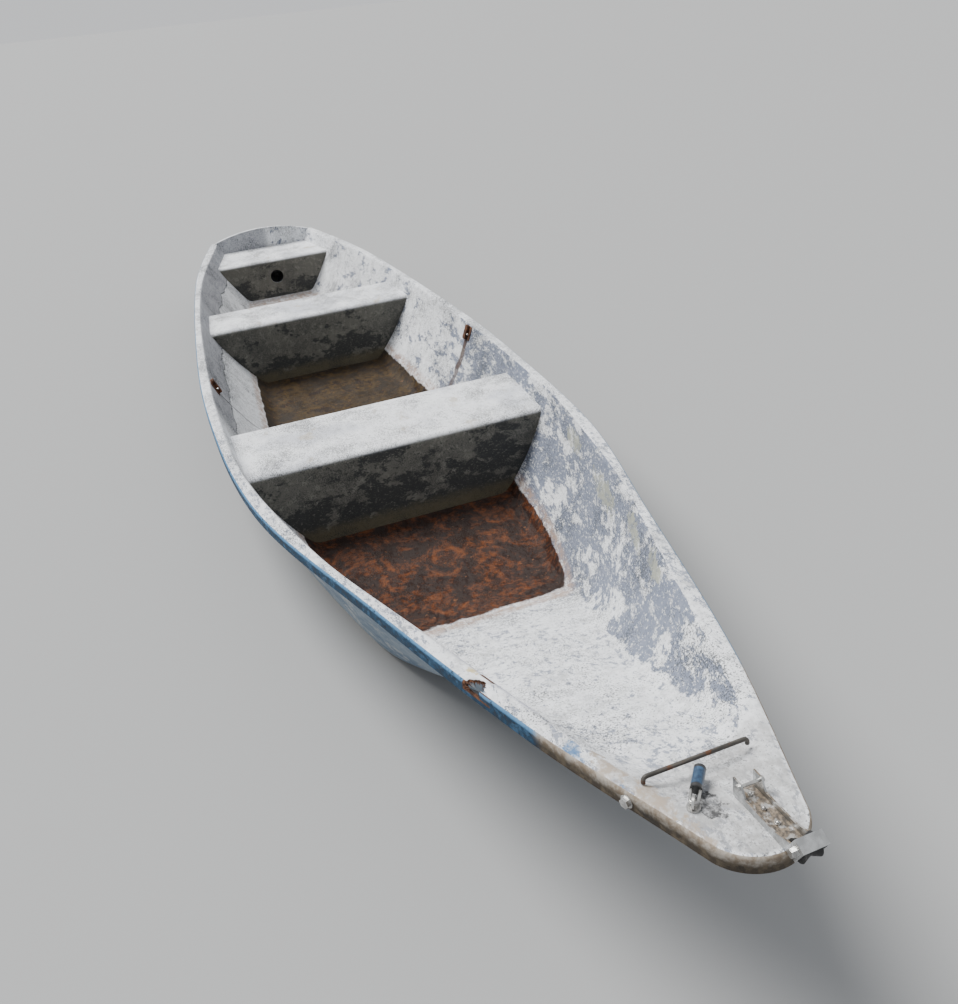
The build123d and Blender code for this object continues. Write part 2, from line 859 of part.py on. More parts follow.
# Padlock on the foredeck, its shackle through the deck eye
lock_deck = deck_plane(padlock_station, padlock_offset)
lock_axis = lock_deck.x_dir.rotate(Axis((0, 0, 0), lock_deck.z_dir), padlock_angle)
lock_plane = Plane(
    origin=lock_deck.origin + lock_deck.z_dir * padlock_diameter / 2,
    x_dir=lock_axis,
    z_dir=lock_deck.z_dir,
)
with BuildPart() as padlock_body:
    with BuildSketch(Plane(origin=lock_plane.origin, z_dir=lock_axis)):
        Circle(padlock_diameter / 2)
    extrude(amount=padlock_length / 2, both=True)
    chamfer(padlock_body.edges().filter_by(GeomType.CIRCLE), padlock_chamfer)
padlock_body.part.label = "padlock_body"
export_step(padlock_body.part, "parts/padlock_body.step")

leg_start = padlock_length / 2
leg_end = leg_start + shackle_length
with BuildPart() as padlock_shackle:
    with BuildSketch(lock_plane):
        for half_width, mode in (
            ((shackle_spacing + shackle_diameter) / 2, Mode.ADD),
            ((shackle_spacing - shackle_diameter) / 2, Mode.SUBTRACT),
        ):
            with Locations((leg_end, 0)):
                Circle(half_width, mode=mode)
            with Locations(((leg_start + leg_end) / 2, 0)):
                Rectangle(shackle_length, 2 * half_width, mode=mode)
    extrude(amount=shackle_diameter / 2, both=True)
    long_edges = padlock_shackle.edges().filter_by(Axis(lock_plane.origin, lock_deck.z_dir), reverse=True)
    chamfer(long_edges.group_by(Axis(lock_plane.origin, lock_axis))[1:], shackle_chamfer)
padlock_shackle.part.label = "padlock_shackle"
export_step(padlock_shackle.part, "parts/padlock_shackle.step")

# Deck eye, a ring of plate on a round base, round the bend of the shackle
eye_foot = lock_plane.from_local_coords((leg_end + shackle_spacing / 2, 0, -padlock_diameter / 2))
ring_radius = eye_hole_radius + eye_width
with BuildPart() as deck_eye:
    with BuildSketch(Plane(origin=eye_foot, z_dir=lock_deck.z_dir)):
        Circle(eye_base_diameter / 2)
    extrude(amount=eye_base_thickness)
    with BuildSketch(Plane(origin=eye_foot, x_dir=lock_axis, z_dir=-lock_plane.y_dir)):
        with Locations((0, ring_radius)):
            Circle(ring_radius)
        with Locations((0, eye_base_thickness)):
            Rectangle(2 * eye_width, 2 * eye_base_thickness)
        with Locations((0, ring_radius)):
            Circle(eye_hole_radius, mode=Mode.SUBTRACT)
        with Locations((0, -eye_base_thickness)):
            Rectangle(eye_base_diameter, 2 * eye_base_thickness, mode=Mode.SUBTRACT)
    extrude(amount=eye_thickness / 2, both=True)
deck_eye.part.label = "deck_eye"
export_step(deck_eye.part, "parts/deck_eye.step")
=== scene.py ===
# The worn look of a glass fibre rowing boat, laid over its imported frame.
# Metres throughout: X forward, Y to port, Z up. Stations run forward from the transom.
import bpy
import bmesh
import math
import random
from mathutils import Matrix, Vector


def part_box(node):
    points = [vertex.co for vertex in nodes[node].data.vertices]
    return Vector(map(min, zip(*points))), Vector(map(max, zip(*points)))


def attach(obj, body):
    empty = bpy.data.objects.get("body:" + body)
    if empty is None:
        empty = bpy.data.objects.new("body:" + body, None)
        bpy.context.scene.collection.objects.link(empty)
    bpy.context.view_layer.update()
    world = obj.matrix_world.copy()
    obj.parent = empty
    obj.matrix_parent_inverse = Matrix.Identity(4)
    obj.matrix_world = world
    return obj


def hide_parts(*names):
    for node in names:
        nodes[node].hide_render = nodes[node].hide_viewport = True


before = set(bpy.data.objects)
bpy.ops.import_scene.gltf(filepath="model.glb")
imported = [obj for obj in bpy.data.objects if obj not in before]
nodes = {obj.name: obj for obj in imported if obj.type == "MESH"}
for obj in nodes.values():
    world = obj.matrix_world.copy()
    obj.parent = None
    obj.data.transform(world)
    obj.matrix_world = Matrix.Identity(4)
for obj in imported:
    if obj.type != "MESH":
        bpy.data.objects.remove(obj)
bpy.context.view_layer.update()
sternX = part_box("gunwale_port")[0][0]  # X of station 0
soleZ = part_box("middle_seat")[0][2]    # Z of the flat sole
print("frame loaded")


# Camera, placed by station, distance to port and height
camera = {"station": 6.1096, "port": -0.5902, "up": 1.6899,
          "yaw": -17.4, "pitch": 30.56, "roll": -6.11, "lens": 31.04, "sensor": 36.0}


def makeCamera(look):
    yaw, pitch, roll = (math.radians(look[name]) for name in ("yaw", "pitch", "roll"))
    ahead = Vector((-math.cos(yaw) * math.cos(pitch), -math.sin(yaw) * math.cos(pitch), -math.sin(pitch)))
    right = ahead.cross(Vector((0, 0, 1))).normalized()
    above = right.cross(ahead)
    turned = math.cos(roll) * right + math.sin(roll) * above
    above = math.cos(roll) * above - math.sin(roll) * right
    data = bpy.data.cameras.new("camera")
    data.sensor_fit = "VERTICAL"
    data.sensor_height = look["sensor"]
    data.lens = look["lens"]
    data.clip_start = 0.05
    holder = bpy.data.objects.new("camera", data)
    bpy.context.scene.collection.objects.link(holder)
    axes = Matrix((turned, above, -ahead)).transposed().to_4x4()
    place = Vector((sternX + look["station"], look["port"], look["up"]))
    holder.matrix_world = Matrix.Translation(place) @ axes
    bpy.context.scene.camera = holder


makeCamera(camera)
print("camera placed")


# Hull lines, the same as the solids'
hull = {"length": 5.485, "laminate": 0.008, "sheerHeight": 0.372, "riseStart": 2.785,
        "sheerRadius": 14.0, "sheerArc": 1.6, "rockerEnd": 1.635, "rockerRadius": 9.9,
        "rampStart": 3.865, "rampRadius": 0.7, "rampAngle": 23.5, "deckThickness": 0.044,
        "flangeWidth": 0.034, "flangeThickness": 0.007, "lipHeight": 0.036,
        "lipThickness": 0.006, "lipRound": 0.009, "noseHalf": 0.084, "noseLength": 0.054,
        "transomRake": 0.044}

# station, half beam at the sheer, height there, half width at the sole, height there, swell
sideLines = (
    (-0.040, 0.300, 0.372, 0.172, 0.141, 0.003),
    (0.967, 0.491, 0.372, 0.272, 0.022, 0.014),
    (2.176, 0.582, 0.372, 0.345, 0.000, 0.022),
    (3.385, 0.579, 0.385, 0.385, 0.000, 0.028),
    (4.129, 0.454, 0.437, 0.292, 0.015, 0.018),
    (4.687, 0.296, 0.498, 0.190, 0.294, 0.004),
    (5.245, 0.129, 0.562, 0.103, 0.518, 0.0002),
    (5.490, 0.045, 0.589, 0.033, 0.568, 0.0002),
)

# station, half beam outside the gunwale
gunwaleLine = (
    (0.0, 0.341), (0.400, 0.428), (0.967, 0.517), (2.176, 0.608), (2.920, 0.623),
    (3.757, 0.562), (4.501, 0.375), (5.059, 0.219), (5.431, 0.084),
)


def along(table, column, station):
    rows = [row for row in table if row[0] <= station]
    first = min(max(len(rows) - 1, 0), len(table) - 2)
    near, far = table[first], table[first + 1]
    before, after = table[max(first - 1, 0)], table[min(first + 2, len(table) - 1)]
    span = far[0] - near[0]
    slopeNear = (far[column] - before[column]) / (far[0] - before[0])
    slopeFar = (after[column] - near[column]) / (after[0] - near[0])
    t = (station - near[0]) / span
    return ((2 * t**3 - 3 * t**2 + 1) * near[column] + (t**3 - 2 * t**2 + t) * span * slopeNear
            + (3 * t**2 - 2 * t**3) * far[column] + (t**3 - t**2) * span * slopeFar)


def sheerAt(station):
    run = station - hull["riseStart"]
    if run <= 0:
        return hull["sheerHeight"]
    radius, arc = hull["sheerRadius"], hull["sheerArc"]
    bend = min(run, arc)
    rise = radius - math.sqrt(radius**2 - bend**2)
    return hull["sheerHeight"] + rise + max(run - arc, 0) * arc / math.sqrt(radius**2 - arc**2)


def soleAt(station, drop=0.0):
    if station < hull["rockerEnd"]:
        run = hull["rockerEnd"] - station
        return hull["rockerRadius"] - math.sqrt((hull["rockerRadius"] + drop)**2 - run**2)
    run = station - hull["rampStart"]
    if run <= 0:
        return -drop
    angle = math.radians(hull["rampAngle"])
    radius = hull["rampRadius"] + drop
    reach = radius * math.sin(angle)
    if run < reach:
        return hull["rampRadius"] - math.sqrt(radius**2 - run**2)
    return hull["rampRadius"] - radius * math.cos(angle) + (run - reach) * math.tan(angle)


def rakeAt(height):
    foot = soleAt(hull["transomRake"], hull["laminate"])
    return hull["transomRake"] * (hull["sheerHeight"] - height) / (hull["sheerHeight"] - foot)


def sideCircle(station, inset):
    half, top, low, lowZ, swell = (along(sideLines, column, station) for column in range(1, 6))
    chord = math.hypot(half - low, top - lowZ)
    swell = max(swell, 0.0002)
    radius = chord**2 / (8 * swell) + swell / 2
    centreY = (half + low) / 2 - (radius - swell) * (top - lowZ) / chord
    centreZ = (top + lowZ) / 2 + (radius - swell) * (half - low) / chord
    return centreY, centreZ, radius - inset


def halfBeam(station, height, inset):
    centreY, centreZ, radius = sideCircle(station, inset)
    return centreY + math.sqrt(max(radius**2 - (height - centreZ)**2, 0))


def sideHeight(station, y, inset):
    centreY, centreZ, radius = sideCircle(station, inset)
    across = y - centreY
    if across >= radius:
        return 9.0
    return centreZ - math.sqrt(radius**2 - across**2)


def blendMax(a, b, reach):
    meet = max(reach - abs(a - b), 0) / reach
    return max(a, b) + meet * meet * reach / 4


def blendMin(a, b, reach):
    return -blendMax(-a, -b, reach)


def spread(start, end, count):
    return [start + (end - start) * index / (count - 1) for index in range(count)]


# The moulding: one closed skin with the soft corners of laid-up glass fibre
moulding = {"chineBlend": (0.020, 0.075, 3.3), "rimBlend": (0.012, 0.030, 3.9), "blendLength": 1.2,
            "overlap": 0.0025, "stations": 132, "bunching": 0.045, "noseSteps": 14,
            "softMost": 0.055, "rimBand": 0.016, "rimRoom": 0.030, "arrisStep": 15, "leanLength": 0.4}
insideSlot, lipSlot, outsideSlot, fibreSlot = range(4)


# The reach of a soft corner grows from one value aft to another forward of a station
def cornerReach(name, station):
    aft, fore, start = moulding[name]
    return aft + (fore - aft) * min(max((station - start) / moulding["blendLength"], 0), 1)


def insideHeight(station, y):
    inset = hull["laminate"] + moulding["overlap"]
    side = sideHeight(station, abs(y), inset)
    bowl = blendMax(soleAt(station), side, cornerReach("chineBlend", station))
    return blendMin(bowl, sheerAt(station), cornerReach("rimBlend", station))


def undersideHeight(station):
    return min(soleAt(station, hull["laminate"]), sheerAt(station) - hull["deckThickness"])


# One half section from the centreline inside, over the rim, to the centreline outside.
# Each point is a distance from the section's centre, a height and a material slot.
def halfSection(station, beam, nose):
    inset = hull["laminate"] + moulding["overlap"]
    sheer = sheerAt(station)
    rounding = hull["lipRound"]
    rimInside = beam - rounding
    top = min(halfBeam(station, sheer, inset), beam - moulding["rimRoom"])
    chine = min(halfBeam(station, max(soleAt(station), 0), inset), top - 0.004)
    if nose:
        top, chine = beam * 0.6, beam * 0.5
    soft = min(moulding["softMost"], chine * 0.4, (top - chine) * 0.45 + 0.004)
    wall = max(top - moulding["rimBand"], chine + soft + 0.001)
    rows = spread(0, chine - soft, 9) + spread(chine - soft, chine + soft, 9)[1:]
    rows += spread(chine + soft, wall, 15)[1:]
    rimEnd = min(top + moulding["rimBand"], rimInside - 0.002)
    rows += spread(wall, max(rimEnd, wall + 0.001), 9)[1:]
    points = [(y, sheer if nose else insideHeight(station, y), insideSlot) for y in rows]
    for turn in range(90, -1, -moulding["arrisStep"]):  # the lip's rounded arris
        angle = math.radians(turn)
        spot = (rimInside + rounding * math.cos(angle), sheer - rounding + rounding * math.sin(angle))
        points.append((*spot, insideSlot if turn > 45 else lipSlot))
    low = sheer - hull["lipHeight"]
    points += [(beam, height, lipSlot) for height in spread(sheer - rounding - 0.003, low + 0.002, 5)]
    hollow = beam - hull["lipThickness"]
    under = sheer - hull["flangeThickness"]
    points += [(beam - 0.002, low, lipSlot), (hollow + 0.001, low, lipSlot)]
    points += [(hollow, low + 0.002, outsideSlot), (hollow, under - 0.004, outsideSlot)]
    points.append((hollow - 0.004, under, outsideSlot))
    outer = beam - hull["flangeWidth"] + hull["laminate"]
    bottom = sheer - hull["deckThickness"] if nose else undersideHeight(station)
    for height in spread(under, bottom, 16):
        y = outer if nose else min(outer, halfBeam(station, height, 0))
        points.append((max(y, 0.001), height, outsideSlot))
    corner = points[-1][0]
    points[-1] = (corner - 0.002, bottom + 0.001, outsideSlot)
    points += [(max(y, 0), bottom, outsideSlot) for y in spread(corner - 0.008, 0, 8)]
    return points


def noseRadius():
    return (hull["noseHalf"]**2 + hull["noseLength"]**2) / (2 * hull["noseLength"])


def mouldingSections():
    length, noseStart = hull["length"], gunwaleLine[-1][0]
    sections = []
    for index in range(moulding["stations"]):
        t = index / (moulding["stations"] - 1)
        station = noseStart * (t + moulding["bunching"] * math.sin(2 * math.pi * t) / (2 * math.pi))
        points = []
        for y, height, slot in halfSection(station, along(gunwaleLine, 1, station), False):
            lean = rakeAt(height) * max(1 - station / moulding["leanLength"], 0)
            points.append((station + lean, y, height, slot))
        sections.append(points)
    radius = noseRadius()
    centre = length - radius
    start = math.atan2(hull["noseHalf"], noseStart - centre)
    for index in range(1, moulding["noseSteps"] + 1):
        angle = start * (1 - index / moulding["noseSteps"])
        tip = Vector((centre + radius * math.cos(angle), radius * math.sin(angle)))
        run = tip - Vector((noseStart, 0))
        points = []
        for reach, height, slot in halfSection(tip.x, run.length, True):
            spot = Vector((noseStart, 0)) + run.normalized() * reach
            points.append((spot.x, spot.y, height - sheerAt(tip.x) + sheerAt(spot.x), slot))
        sections.append(points)
    return sections


def linked(name, mesh):
    piece = bpy.data.objects.new(name, mesh)
    bpy.context.scene.collection.objects.link(piece)
    return piece


def meshOf(piece):
    graph = bpy.context.evaluated_depsgraph_get()
    return bpy.data.meshes.new_from_object(piece.evaluated_get(graph))


def finished(name, shape, angle=38):
    bmesh.ops.recalc_face_normals(shape, faces=shape.faces)
    mesh = bpy.data.meshes.new(name)
    shape.to_mesh(mesh)
    shape.free()
    mesh.polygons.foreach_set("use_smooth", [True] * len(mesh.polygons))
    mesh.set_sharp_from_angle(angle=math.radians(angle))
    return linked(name, mesh)


# The torn socket hole, its outline ragged
tear = {"station": 4.902, "inset": 0.009, "along": 0.025, "across": 0.018, "depth": 0.020, "points": 34,
        "lead": 0.47, "over": 0.03, "edgeReach": 0.036, "edgeTop": 0.0012, "edgeBelow": 0.002}


def deckFrame(station, y):
    forward = Vector((1, 0, (sheerAt(5.0) - sheerAt(4.8)) / 0.2)).normalized()
    return Vector((sternX + station, y, soleZ + sheerAt(station))), forward, forward.cross(Vector((0, 1, 0)))


def tearPlace():
    place, _, up = deckFrame(tear["station"], tear["inset"] - along(gunwaleLine, 1, tear["station"]))
    lead = Vector((1, tear["lead"], 0)).normalized()
    return place, lead, up.cross(lead), up


def makeTearCutter():
    place, lead, across, up = tearPlace()
    random.seed(4)
    shape = bmesh.new()
    rings = ([], [])
    for index in range(tear["points"]):
        angle = 2 * math.pi * index / tear["points"]
        reach = random.uniform(0.78, 1.1) if index % 2 else random.uniform(0.9, 1.06)
        spot = place + lead * tear["along"] * reach * math.cos(angle)
        spot += across * tear["across"] * reach * math.sin(angle)
        rings[0].append(shape.verts.new(spot - up * tear["depth"]))
        rings[1].append(shape.verts.new(spot + up * tear["over"]))
    for index in range(tear["points"]):
        after = (index + 1) % tear["points"]
        shape.faces.new((rings[0][index], rings[0][after], rings[1][after], rings[1][index]))
    shape.faces.new(rings[0])
    shape.faces.new(rings[1])
    return finished("tearCutter", shape)


def makeMoulding():
    sections = mouldingSections()
    shape = bmesh.new()
    for side in (1, -1):
        rows = [[shape.verts.new((sternX + x, side * y, soleZ + z)) for x, y, z, _ in points]
                for points in sections]
        for section, near, far in zip(sections, rows, rows[1:]):
            for c in range(len(near) - 1):
                corners = [near[c], near[c + 1], far[c + 1], far[c]]
                face = shape.faces.new(corners if side > 0 else corners[::-1])
                face.material_index = section[c + 1][3]
        cap = shape.faces.new(rows[0] if side < 0 else rows[0][::-1])
        cap.material_index = outsideSlot
    bmesh.ops.remove_doubles(shape, verts=shape.verts, dist=0.00005)
    piece = finished("moulding", shape)
    cutter = makeTearCutter()
    cut = piece.modifiers.new("tear", "BOOLEAN")
    cut.object = cutter
    cut.solver = "EXACT"
    mesh = meshOf(piece)
    piece.modifiers.clear()
    piece.data = mesh
    bpy.data.objects.remove(cutter)
    place, _, _, up = tearPlace()
    for face in mesh.polygons:
        offset = face.center - place
        below = -offset.dot(up)
        if offset.length < tear["edgeReach"] and tear["edgeTop"] < below < tear["depth"] + tear["edgeBelow"]:
            face.material_index = fibreSlot
    markRim(mesh)
    return piece


# Two values for the paints: how far in from the rim and how far below the sheer a point is
def markRim(mesh):
    rim = mesh.attributes.new("rim", "FLOAT", "POINT")
    drop = mesh.attributes.new("drop", "FLOAT", "POINT")
    noseStart, radius = gunwaleLine[-1][0], noseRadius()
    for index, vertex in enumerate(mesh.vertices):
        station = vertex.co.x - sternX
        y = abs(vertex.co.y)
        if station <= noseStart:
            inward = along(gunwaleLine, 1, max(station, 0)) - y
        else:
            inward = radius - math.hypot(station - hull["length"] + radius, y)
        rim.data[index].value = inward
        drop.data[index].value = sheerAt(station) - (vertex.co.z - soleZ)


mouldingPiece = makeMoulding()
sides = sorted(name for name in nodes if name.startswith("side_"))
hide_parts("bottom_panel", "foredeck", "gunwale_port", "gunwale_starboard", *sides)
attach(mouldingPiece, "hull")
print("moulding made, faces:", len(mouldingPiece.data.polygons))


# A node's output, in such a form that sums, ramps and grains of it are written as formulas.
# Each step of a formula adds a node to its tree.
class Value:
    def __init__(self, socket):
        self.socket = socket
        self.tree = socket.id_data

    def __add__(self, other):
        return maths("ADD", self, other)

    def __mul__(self, other):
        return maths("MULTIPLY", self, other)

    def __sub__(self, other):
        return maths("SUBTRACT", self, other)

    def __rsub__(self, other):
        return maths("SUBTRACT", other, self)

    def __truediv__(self, other):
        return maths("DIVIDE", self, other)

    __radd__ = __add__
    __rmul__ = __mul__

    def ramp(self, low, high, start=0.0, end=1.0):
        feeds = {"Value": self, "From Min": low, "From Max": high, "To Min": start, "To Max": end}
        return addNode(self.tree, "ShaderNodeMapRange", feeds, interpolation_type="SMOOTHSTEP")[0]

    # Full between two limits, with soft ends
    def within(self, low, high, soft):
        return self.ramp(low - soft, low + soft) * self.ramp(high + soft, high - soft)

    # A grain's value turned into a shift either way
    def shifted(self, reach):
        return (self - 0.5) * reach

    # The roughness of a paint follows its grain
    def rough(self, low, high):
        return self.ramp(0.3, 0.7, low, high)

    def grain(self, scale, detail=4.0, rough=0.55, twist=0.0):
        feeds = {"Vector": self, "Scale": scale, "Detail": detail, "Roughness": rough, "Distortion": twist}
        return addNode(self.tree, "ShaderNodeTexNoise", feeds)["Fac"]

    def stretched(self, scale, turn=(0, 0, 0)):
        return addNode(self.tree, "ShaderNodeMapping", {"Vector": self, "Scale": scale, "Rotation": turn})[0]

    def axes(self):
        return addNode(self.tree, "ShaderNodeSeparateXYZ", {0: self})

    def facing(self):
        return addNode(self.tree, "ShaderNodeNewGeometry")["Normal"].axes()

    def mark(self, name):
        return addNode(self.tree, "ShaderNodeAttribute", attribute_name=name)["Fac"]

    def feed(self, socket):
        self.tree.links.new(self.socket, socket)


def addNode(tree, kind, feeds=None, **settings):
    node = tree.nodes.new(kind)
    for name, value in settings.items():
        setattr(node, name, value)
    for name, value in (feeds or {}).items():
        if isinstance(value, Value):
            value.feed(node.inputs[name])
        else:
            node.inputs[name].default_value = value
    # The outputs go by their names and by their numbers
    values = {socket.name: Value(socket) for socket in node.outputs}
    values.update(enumerate(Value(socket) for socket in node.outputs))
    return values


def treeOf(*values):
    return next(value.tree for value in values if isinstance(value, Value))


def maths(kind, a, b=0.0, clamp=False):
    return addNode(treeOf(a, b), "ShaderNodeMath", {0: a, 1: b}, operation=kind, use_clamp=clamp)[0]


def vectorMaths(kind, a, b=(0.0, 0.0, 0.0)):
    return addNode(a.tree, "ShaderNodeVectorMath", {0: a, 1: b}, operation=kind)


def mixed(share, a, b):
    return addNode(treeOf(share, a, b), "ShaderNodeMix", {0: share, 6: a, 7: b}, data_type="RGBA")[2]


def colour(red, green, blue):
    return (red, green, blue, 1.0)


# An input given as a number is a number, any other is a vector. Only the output Color is a colour.
def newGroup(name, inputs, outputs):
    group = bpy.data.node_groups.new(name, "ShaderNodeTree")
    for label, value in inputs.items():
        kind = "NodeSocketFloat" if isinstance(value, float) else "NodeSocketVector"
        socket = group.interface.new_socket(label, in_out="INPUT", socket_type=kind)
        if value is not None:
            socket.default_value = value
    for label in outputs:
        kind = "NodeSocketColor" if label == "Color" else "NodeSocketFloat"
        group.interface.new_socket(label, in_out="OUTPUT", socket_type=kind)
    out = group.nodes.new("NodeGroupOutput")
    return group, addNode(group, "NodeGroupInput"), out.inputs


def useGroup(group, feeds):
    return addNode(feeds["Vector"].tree, "ShaderNodeGroup", feeds, node_tree=group)


# Paint that has flaked off in ragged islands, with crumbs left inside them
def makeFlakeGroup():
    group, given, out = newGroup(
        "paintFlakes", {"Vector": None, "Scale": 9.0, "Amount": 0.5}, ("Bare", "Height"))
    where = given["Vector"]
    warp = addNode(group, "ShaderNodeTexNoise", {"Vector": where, "Scale": 14.0, "Detail": 3.0})
    bent = vectorMaths("MULTIPLY", warp["Color"], (0.03, 0.03, 0.03))[0]
    moved = vectorMaths("ADD", where, bent)[0]
    large = moved.grain(given["Scale"], 10.0, 0.76)
    over = large - (0.72 - given["Amount"] * 0.42)
    islands = over.ramp(-0.012, 0.012)
    crumbs = where.grain(130.0, 5.0, 0.75).ramp(0.57, 0.60)
    bare = islands * (1.0 - crumbs)
    chips = where.grain(95.0, 5.0, 0.75).ramp(0.61, 0.64) * over.ramp(-0.16, 0.0)
    bare = maths("MAXIMUM", bare, chips)
    bare.feed(out["Bare"])
    (1.0 - bare).feed(out["Height"])
    return group


# Small dark specks of mould, thicker in some patches
def makeSpeckGroup():
    group, given, out = newGroup("mouldSpecks", {"Vector": None, "Scale": 240.0, "Density": 0.5}, ("Mask",))
    dots = given["Vector"].grain(given["Scale"], 2.0, 0.7)
    thick = given["Vector"].grain(6.0, 4.0, 0.6)
    limit = 0.88 - thick * given["Density"] * 0.75
    (dots - limit).ramp(0.0, 0.04).feed(out["Mask"])
    return group


# Rust, from orange dust to dark scale
rustColours = {"scale": colour(0.030, 0.014, 0.009), "brown": colour(0.115, 0.045, 0.020),
               "orange": colour(0.30, 0.13, 0.05)}


def makeRustGroup(look):
    group, given, out = newGroup(
        "rustCoat", {"Vector": None, "Scale": 60.0}, ("Color", "Roughness", "Height"))
    blotch = given["Vector"].grain(given["Scale"], 6.0, 0.65)
    pits = given["Vector"].grain(420.0, 3.0, 0.6)
    tone = mixed(blotch.ramp(0.35, 0.6), look["scale"], look["brown"])
    tone = mixed(blotch.ramp(0.58, 0.72), tone, look["orange"])
    height = blotch * 0.6 + pits * 0.4
    tone.feed(out["Color"])
    pits.ramp(0.3, 0.7, 0.75, 0.95).feed(out["Roughness"])
    height.feed(out["Height"])
    return group


# A stain that runs down from a place on one side of the hull, ragged at its edges
def makeRunGroup():
    group, given, out = newGroup(
        "runningStain",
        {"Vector": None, "Place": (0.0, 0.0, 0.0), "Width": 0.02, "Length": 0.25, "Lean": 0.0, "Side": 1.0},
        ("Mask",))
    where = given["Vector"]
    offset = vectorMaths("SUBTRACT", where, given["Place"])[0].axes()
    wander = where.grain(9.0, 3.0).shifted(0.05)
    down = offset["Z"] * -1.0
    across = maths("ABSOLUTE", offset["X"] + wander + down * given["Lean"])
    edge = (1.0 - across / given["Width"]).ramp(0.0, 0.7)
    fade = maths("SUBTRACT", 1.0, down / given["Length"], True)
    begun = down.ramp(-0.012, 0.0)
    sameSide = (where.axes()["Y"] * given["Side"]).ramp(0.0, 0.02)
    streaks = where.stretched((9.0, 1.0, 0.6)).grain(22.0, 5.0, 0.7)
    streaks = streaks.ramp(0.30, 0.60, 0.25, 1.0)
    maths("MULTIPLY", edge * fade * begun * sameSide, streaks, True).feed(out["Mask"])
    return group


# One ragged patch about a place
def makePatchGroup():
    group, given, out = newGroup(
        "stainPatch", {"Vector": None, "Place": (0.0, 0.0, 0.0), "Size": (0.05, 0.05, 0.05)}, ("Mask",))
    offset = vectorMaths("SUBTRACT", given["Vector"], given["Place"])[0]
    reach = vectorMaths("LENGTH", vectorMaths("DIVIDE", offset, given["Size"])[0])["Value"]
    edge = reach + given["Vector"].grain(34.0, 7.0, 0.72).shifted(3.6)
    edge.ramp(1.06, 0.94).feed(out["Mask"])
    return group


patchGroup = makePatchGroup()
flakeGroup = makeFlakeGroup()
speckGroup = makeSpeckGroup()
rustGroup = makeRustGroup(rustColours)
runGroup = makeRunGroup()


def newMaterial(name, settings):
    material = bpy.data.materials.new(name)
    material.use_nodes = True
    shader = material.node_tree.nodes["Principled BSDF"]
    for label, value in settings.items():
        shader.inputs[label].default_value = value
    where = addNode(material.node_tree, "ShaderNodeTexCoord")["Object"]
    return material, shader, where


def coated(shader, tone, rough, height, strength, distance):
    feeds = {"Height": height, "Strength": strength, "Distance": distance}
    tone.feed(shader.inputs["Base Color"])
    rough.feed(shader.inputs["Roughness"])
    addNode(height.tree, "ShaderNodeBump", feeds)[0].feed(shader.inputs["Normal"])


def flakesOn(where, scale, amount):
    return useGroup(flakeGroup, {"Vector": where, "Scale": scale, "Amount": amount})


def specksOn(where, scale, density):
    return useGroup(speckGroup, {"Vector": where, "Scale": scale, "Density": density})["Mask"]


def rustOn(where, scale):
    return useGroup(rustGroup, {"Vector": where, "Scale": scale})


# Inside paint: chalky white over slate blue, stained brown where rain has stood
insidePaint = {"white": colour(0.79, 0.81, 0.84), "grime": colour(0.46, 0.47, 0.48),
               "slate": colour(0.155, 0.180, 0.240), "slateWorn": colour(0.225, 0.250, 0.320),
               "shade": colour(0.24, 0.245, 0.27), "shadeWorn": colour(0.34, 0.35, 0.38),
               "speck": colour(0.050, 0.055, 0.062), "smudge": colour(0.34, 0.35, 0.36),
               "deck": colour(0.33, 0.33, 0.33), "lilac": colour(0.36, 0.37, 0.47),
               "olive": colour(0.33, 0.34, 0.28), "blue": colour(0.055, 0.15, 0.31),
               "slateMark": colour(0.21, 0.24, 0.32), "soil": colour(0.36, 0.30, 0.24),
               "peach": colour(0.60, 0.50, 0.40), "sand": colour(0.55, 0.46, 0.25),
               # The dark soot colour paints the soot in the starboard run, and also painted shadow mixed
               # with dirt in the patch by the padlock's shackle
               "sootAndShadow": colour(0.030, 0.030, 0.032), "rustSpot": colour(0.22, 0.075, 0.02),
               "rustRun": colour(0.075, 0.046, 0.034),
               # Stations between which a finish comes in, then heights above the sole
               "slateFrom": (1.8, 3.4), "chipsFrom": (2.9, 3.8), "aftWallFrom": (2.95, 2.75),
               "rampFrom": (3.9, 4.5), "deckFrom": (5.20, 5.27), "lilacStations": (4.76, 5.02),
               "lilacRim": (0.040, 0.080), "parting": 0.235, "runTop": 0.318, "runLength": 0.34,
               "runAhead": 0.014}

# Each row is a station, a distance to port, a height above the sole, a reach along, across
# and up, and the paint's name
patches = (
    (3.745, 0.52, 0.340, 0.075, 0.2, 0.030, "olive"),
    (4.115, 0.42, 0.352, 0.110, 0.2, 0.032, "olive"),
    (4.435, 0.34, 0.424, 0.080, 0.2, 0.022, "olive"),
    (4.640, 0.28, 0.460, 0.060, 0.2, 0.016, "olive"),
    (5.170, 0.074, 0.562, 0.030, 0.022, 0.05, "slateMark"),
    (5.156, -0.171, 0.560, 0.030, 0.014, 0.05, "blue"),
    (5.263, -0.145, 0.570, 0.020, 0.011, 0.05, "blue"),
    (4.854, -0.244, 0.525, 0.022, 0.012, 0.05, "sand"),
    (4.830, -0.318, 0.525, 0.060, 0.012, 0.05, "peach"),
    (5.010, -0.262, 0.545, 0.045, 0.010, 0.05, "peach"),
    (5.224, -0.140, 0.570, 0.050, 0.020, 0.05, "soil"),
    (5.318, -0.112, 0.580, 0.060, 0.022, 0.05, "soil"),
    (5.410, -0.098, 0.590, 0.045, 0.022, 0.05, "soil"),
    # Painted shadow of the padlock's shackle on the deck, mixed with dirt
    (5.350, -0.043, 0.582, 0.034, 0.020, 0.05, "sootAndShadow"),
    (5.274, -0.151, 0.570, 0.012, 0.008, 0.05, "rustSpot"),
)

# Stains under the rowlock blocks: side, width, lean and paint
runs = ((1.0, 0.030, -0.12, "rustRun"), (-1.0, 0.010, 0.16, "sootAndShadow"))

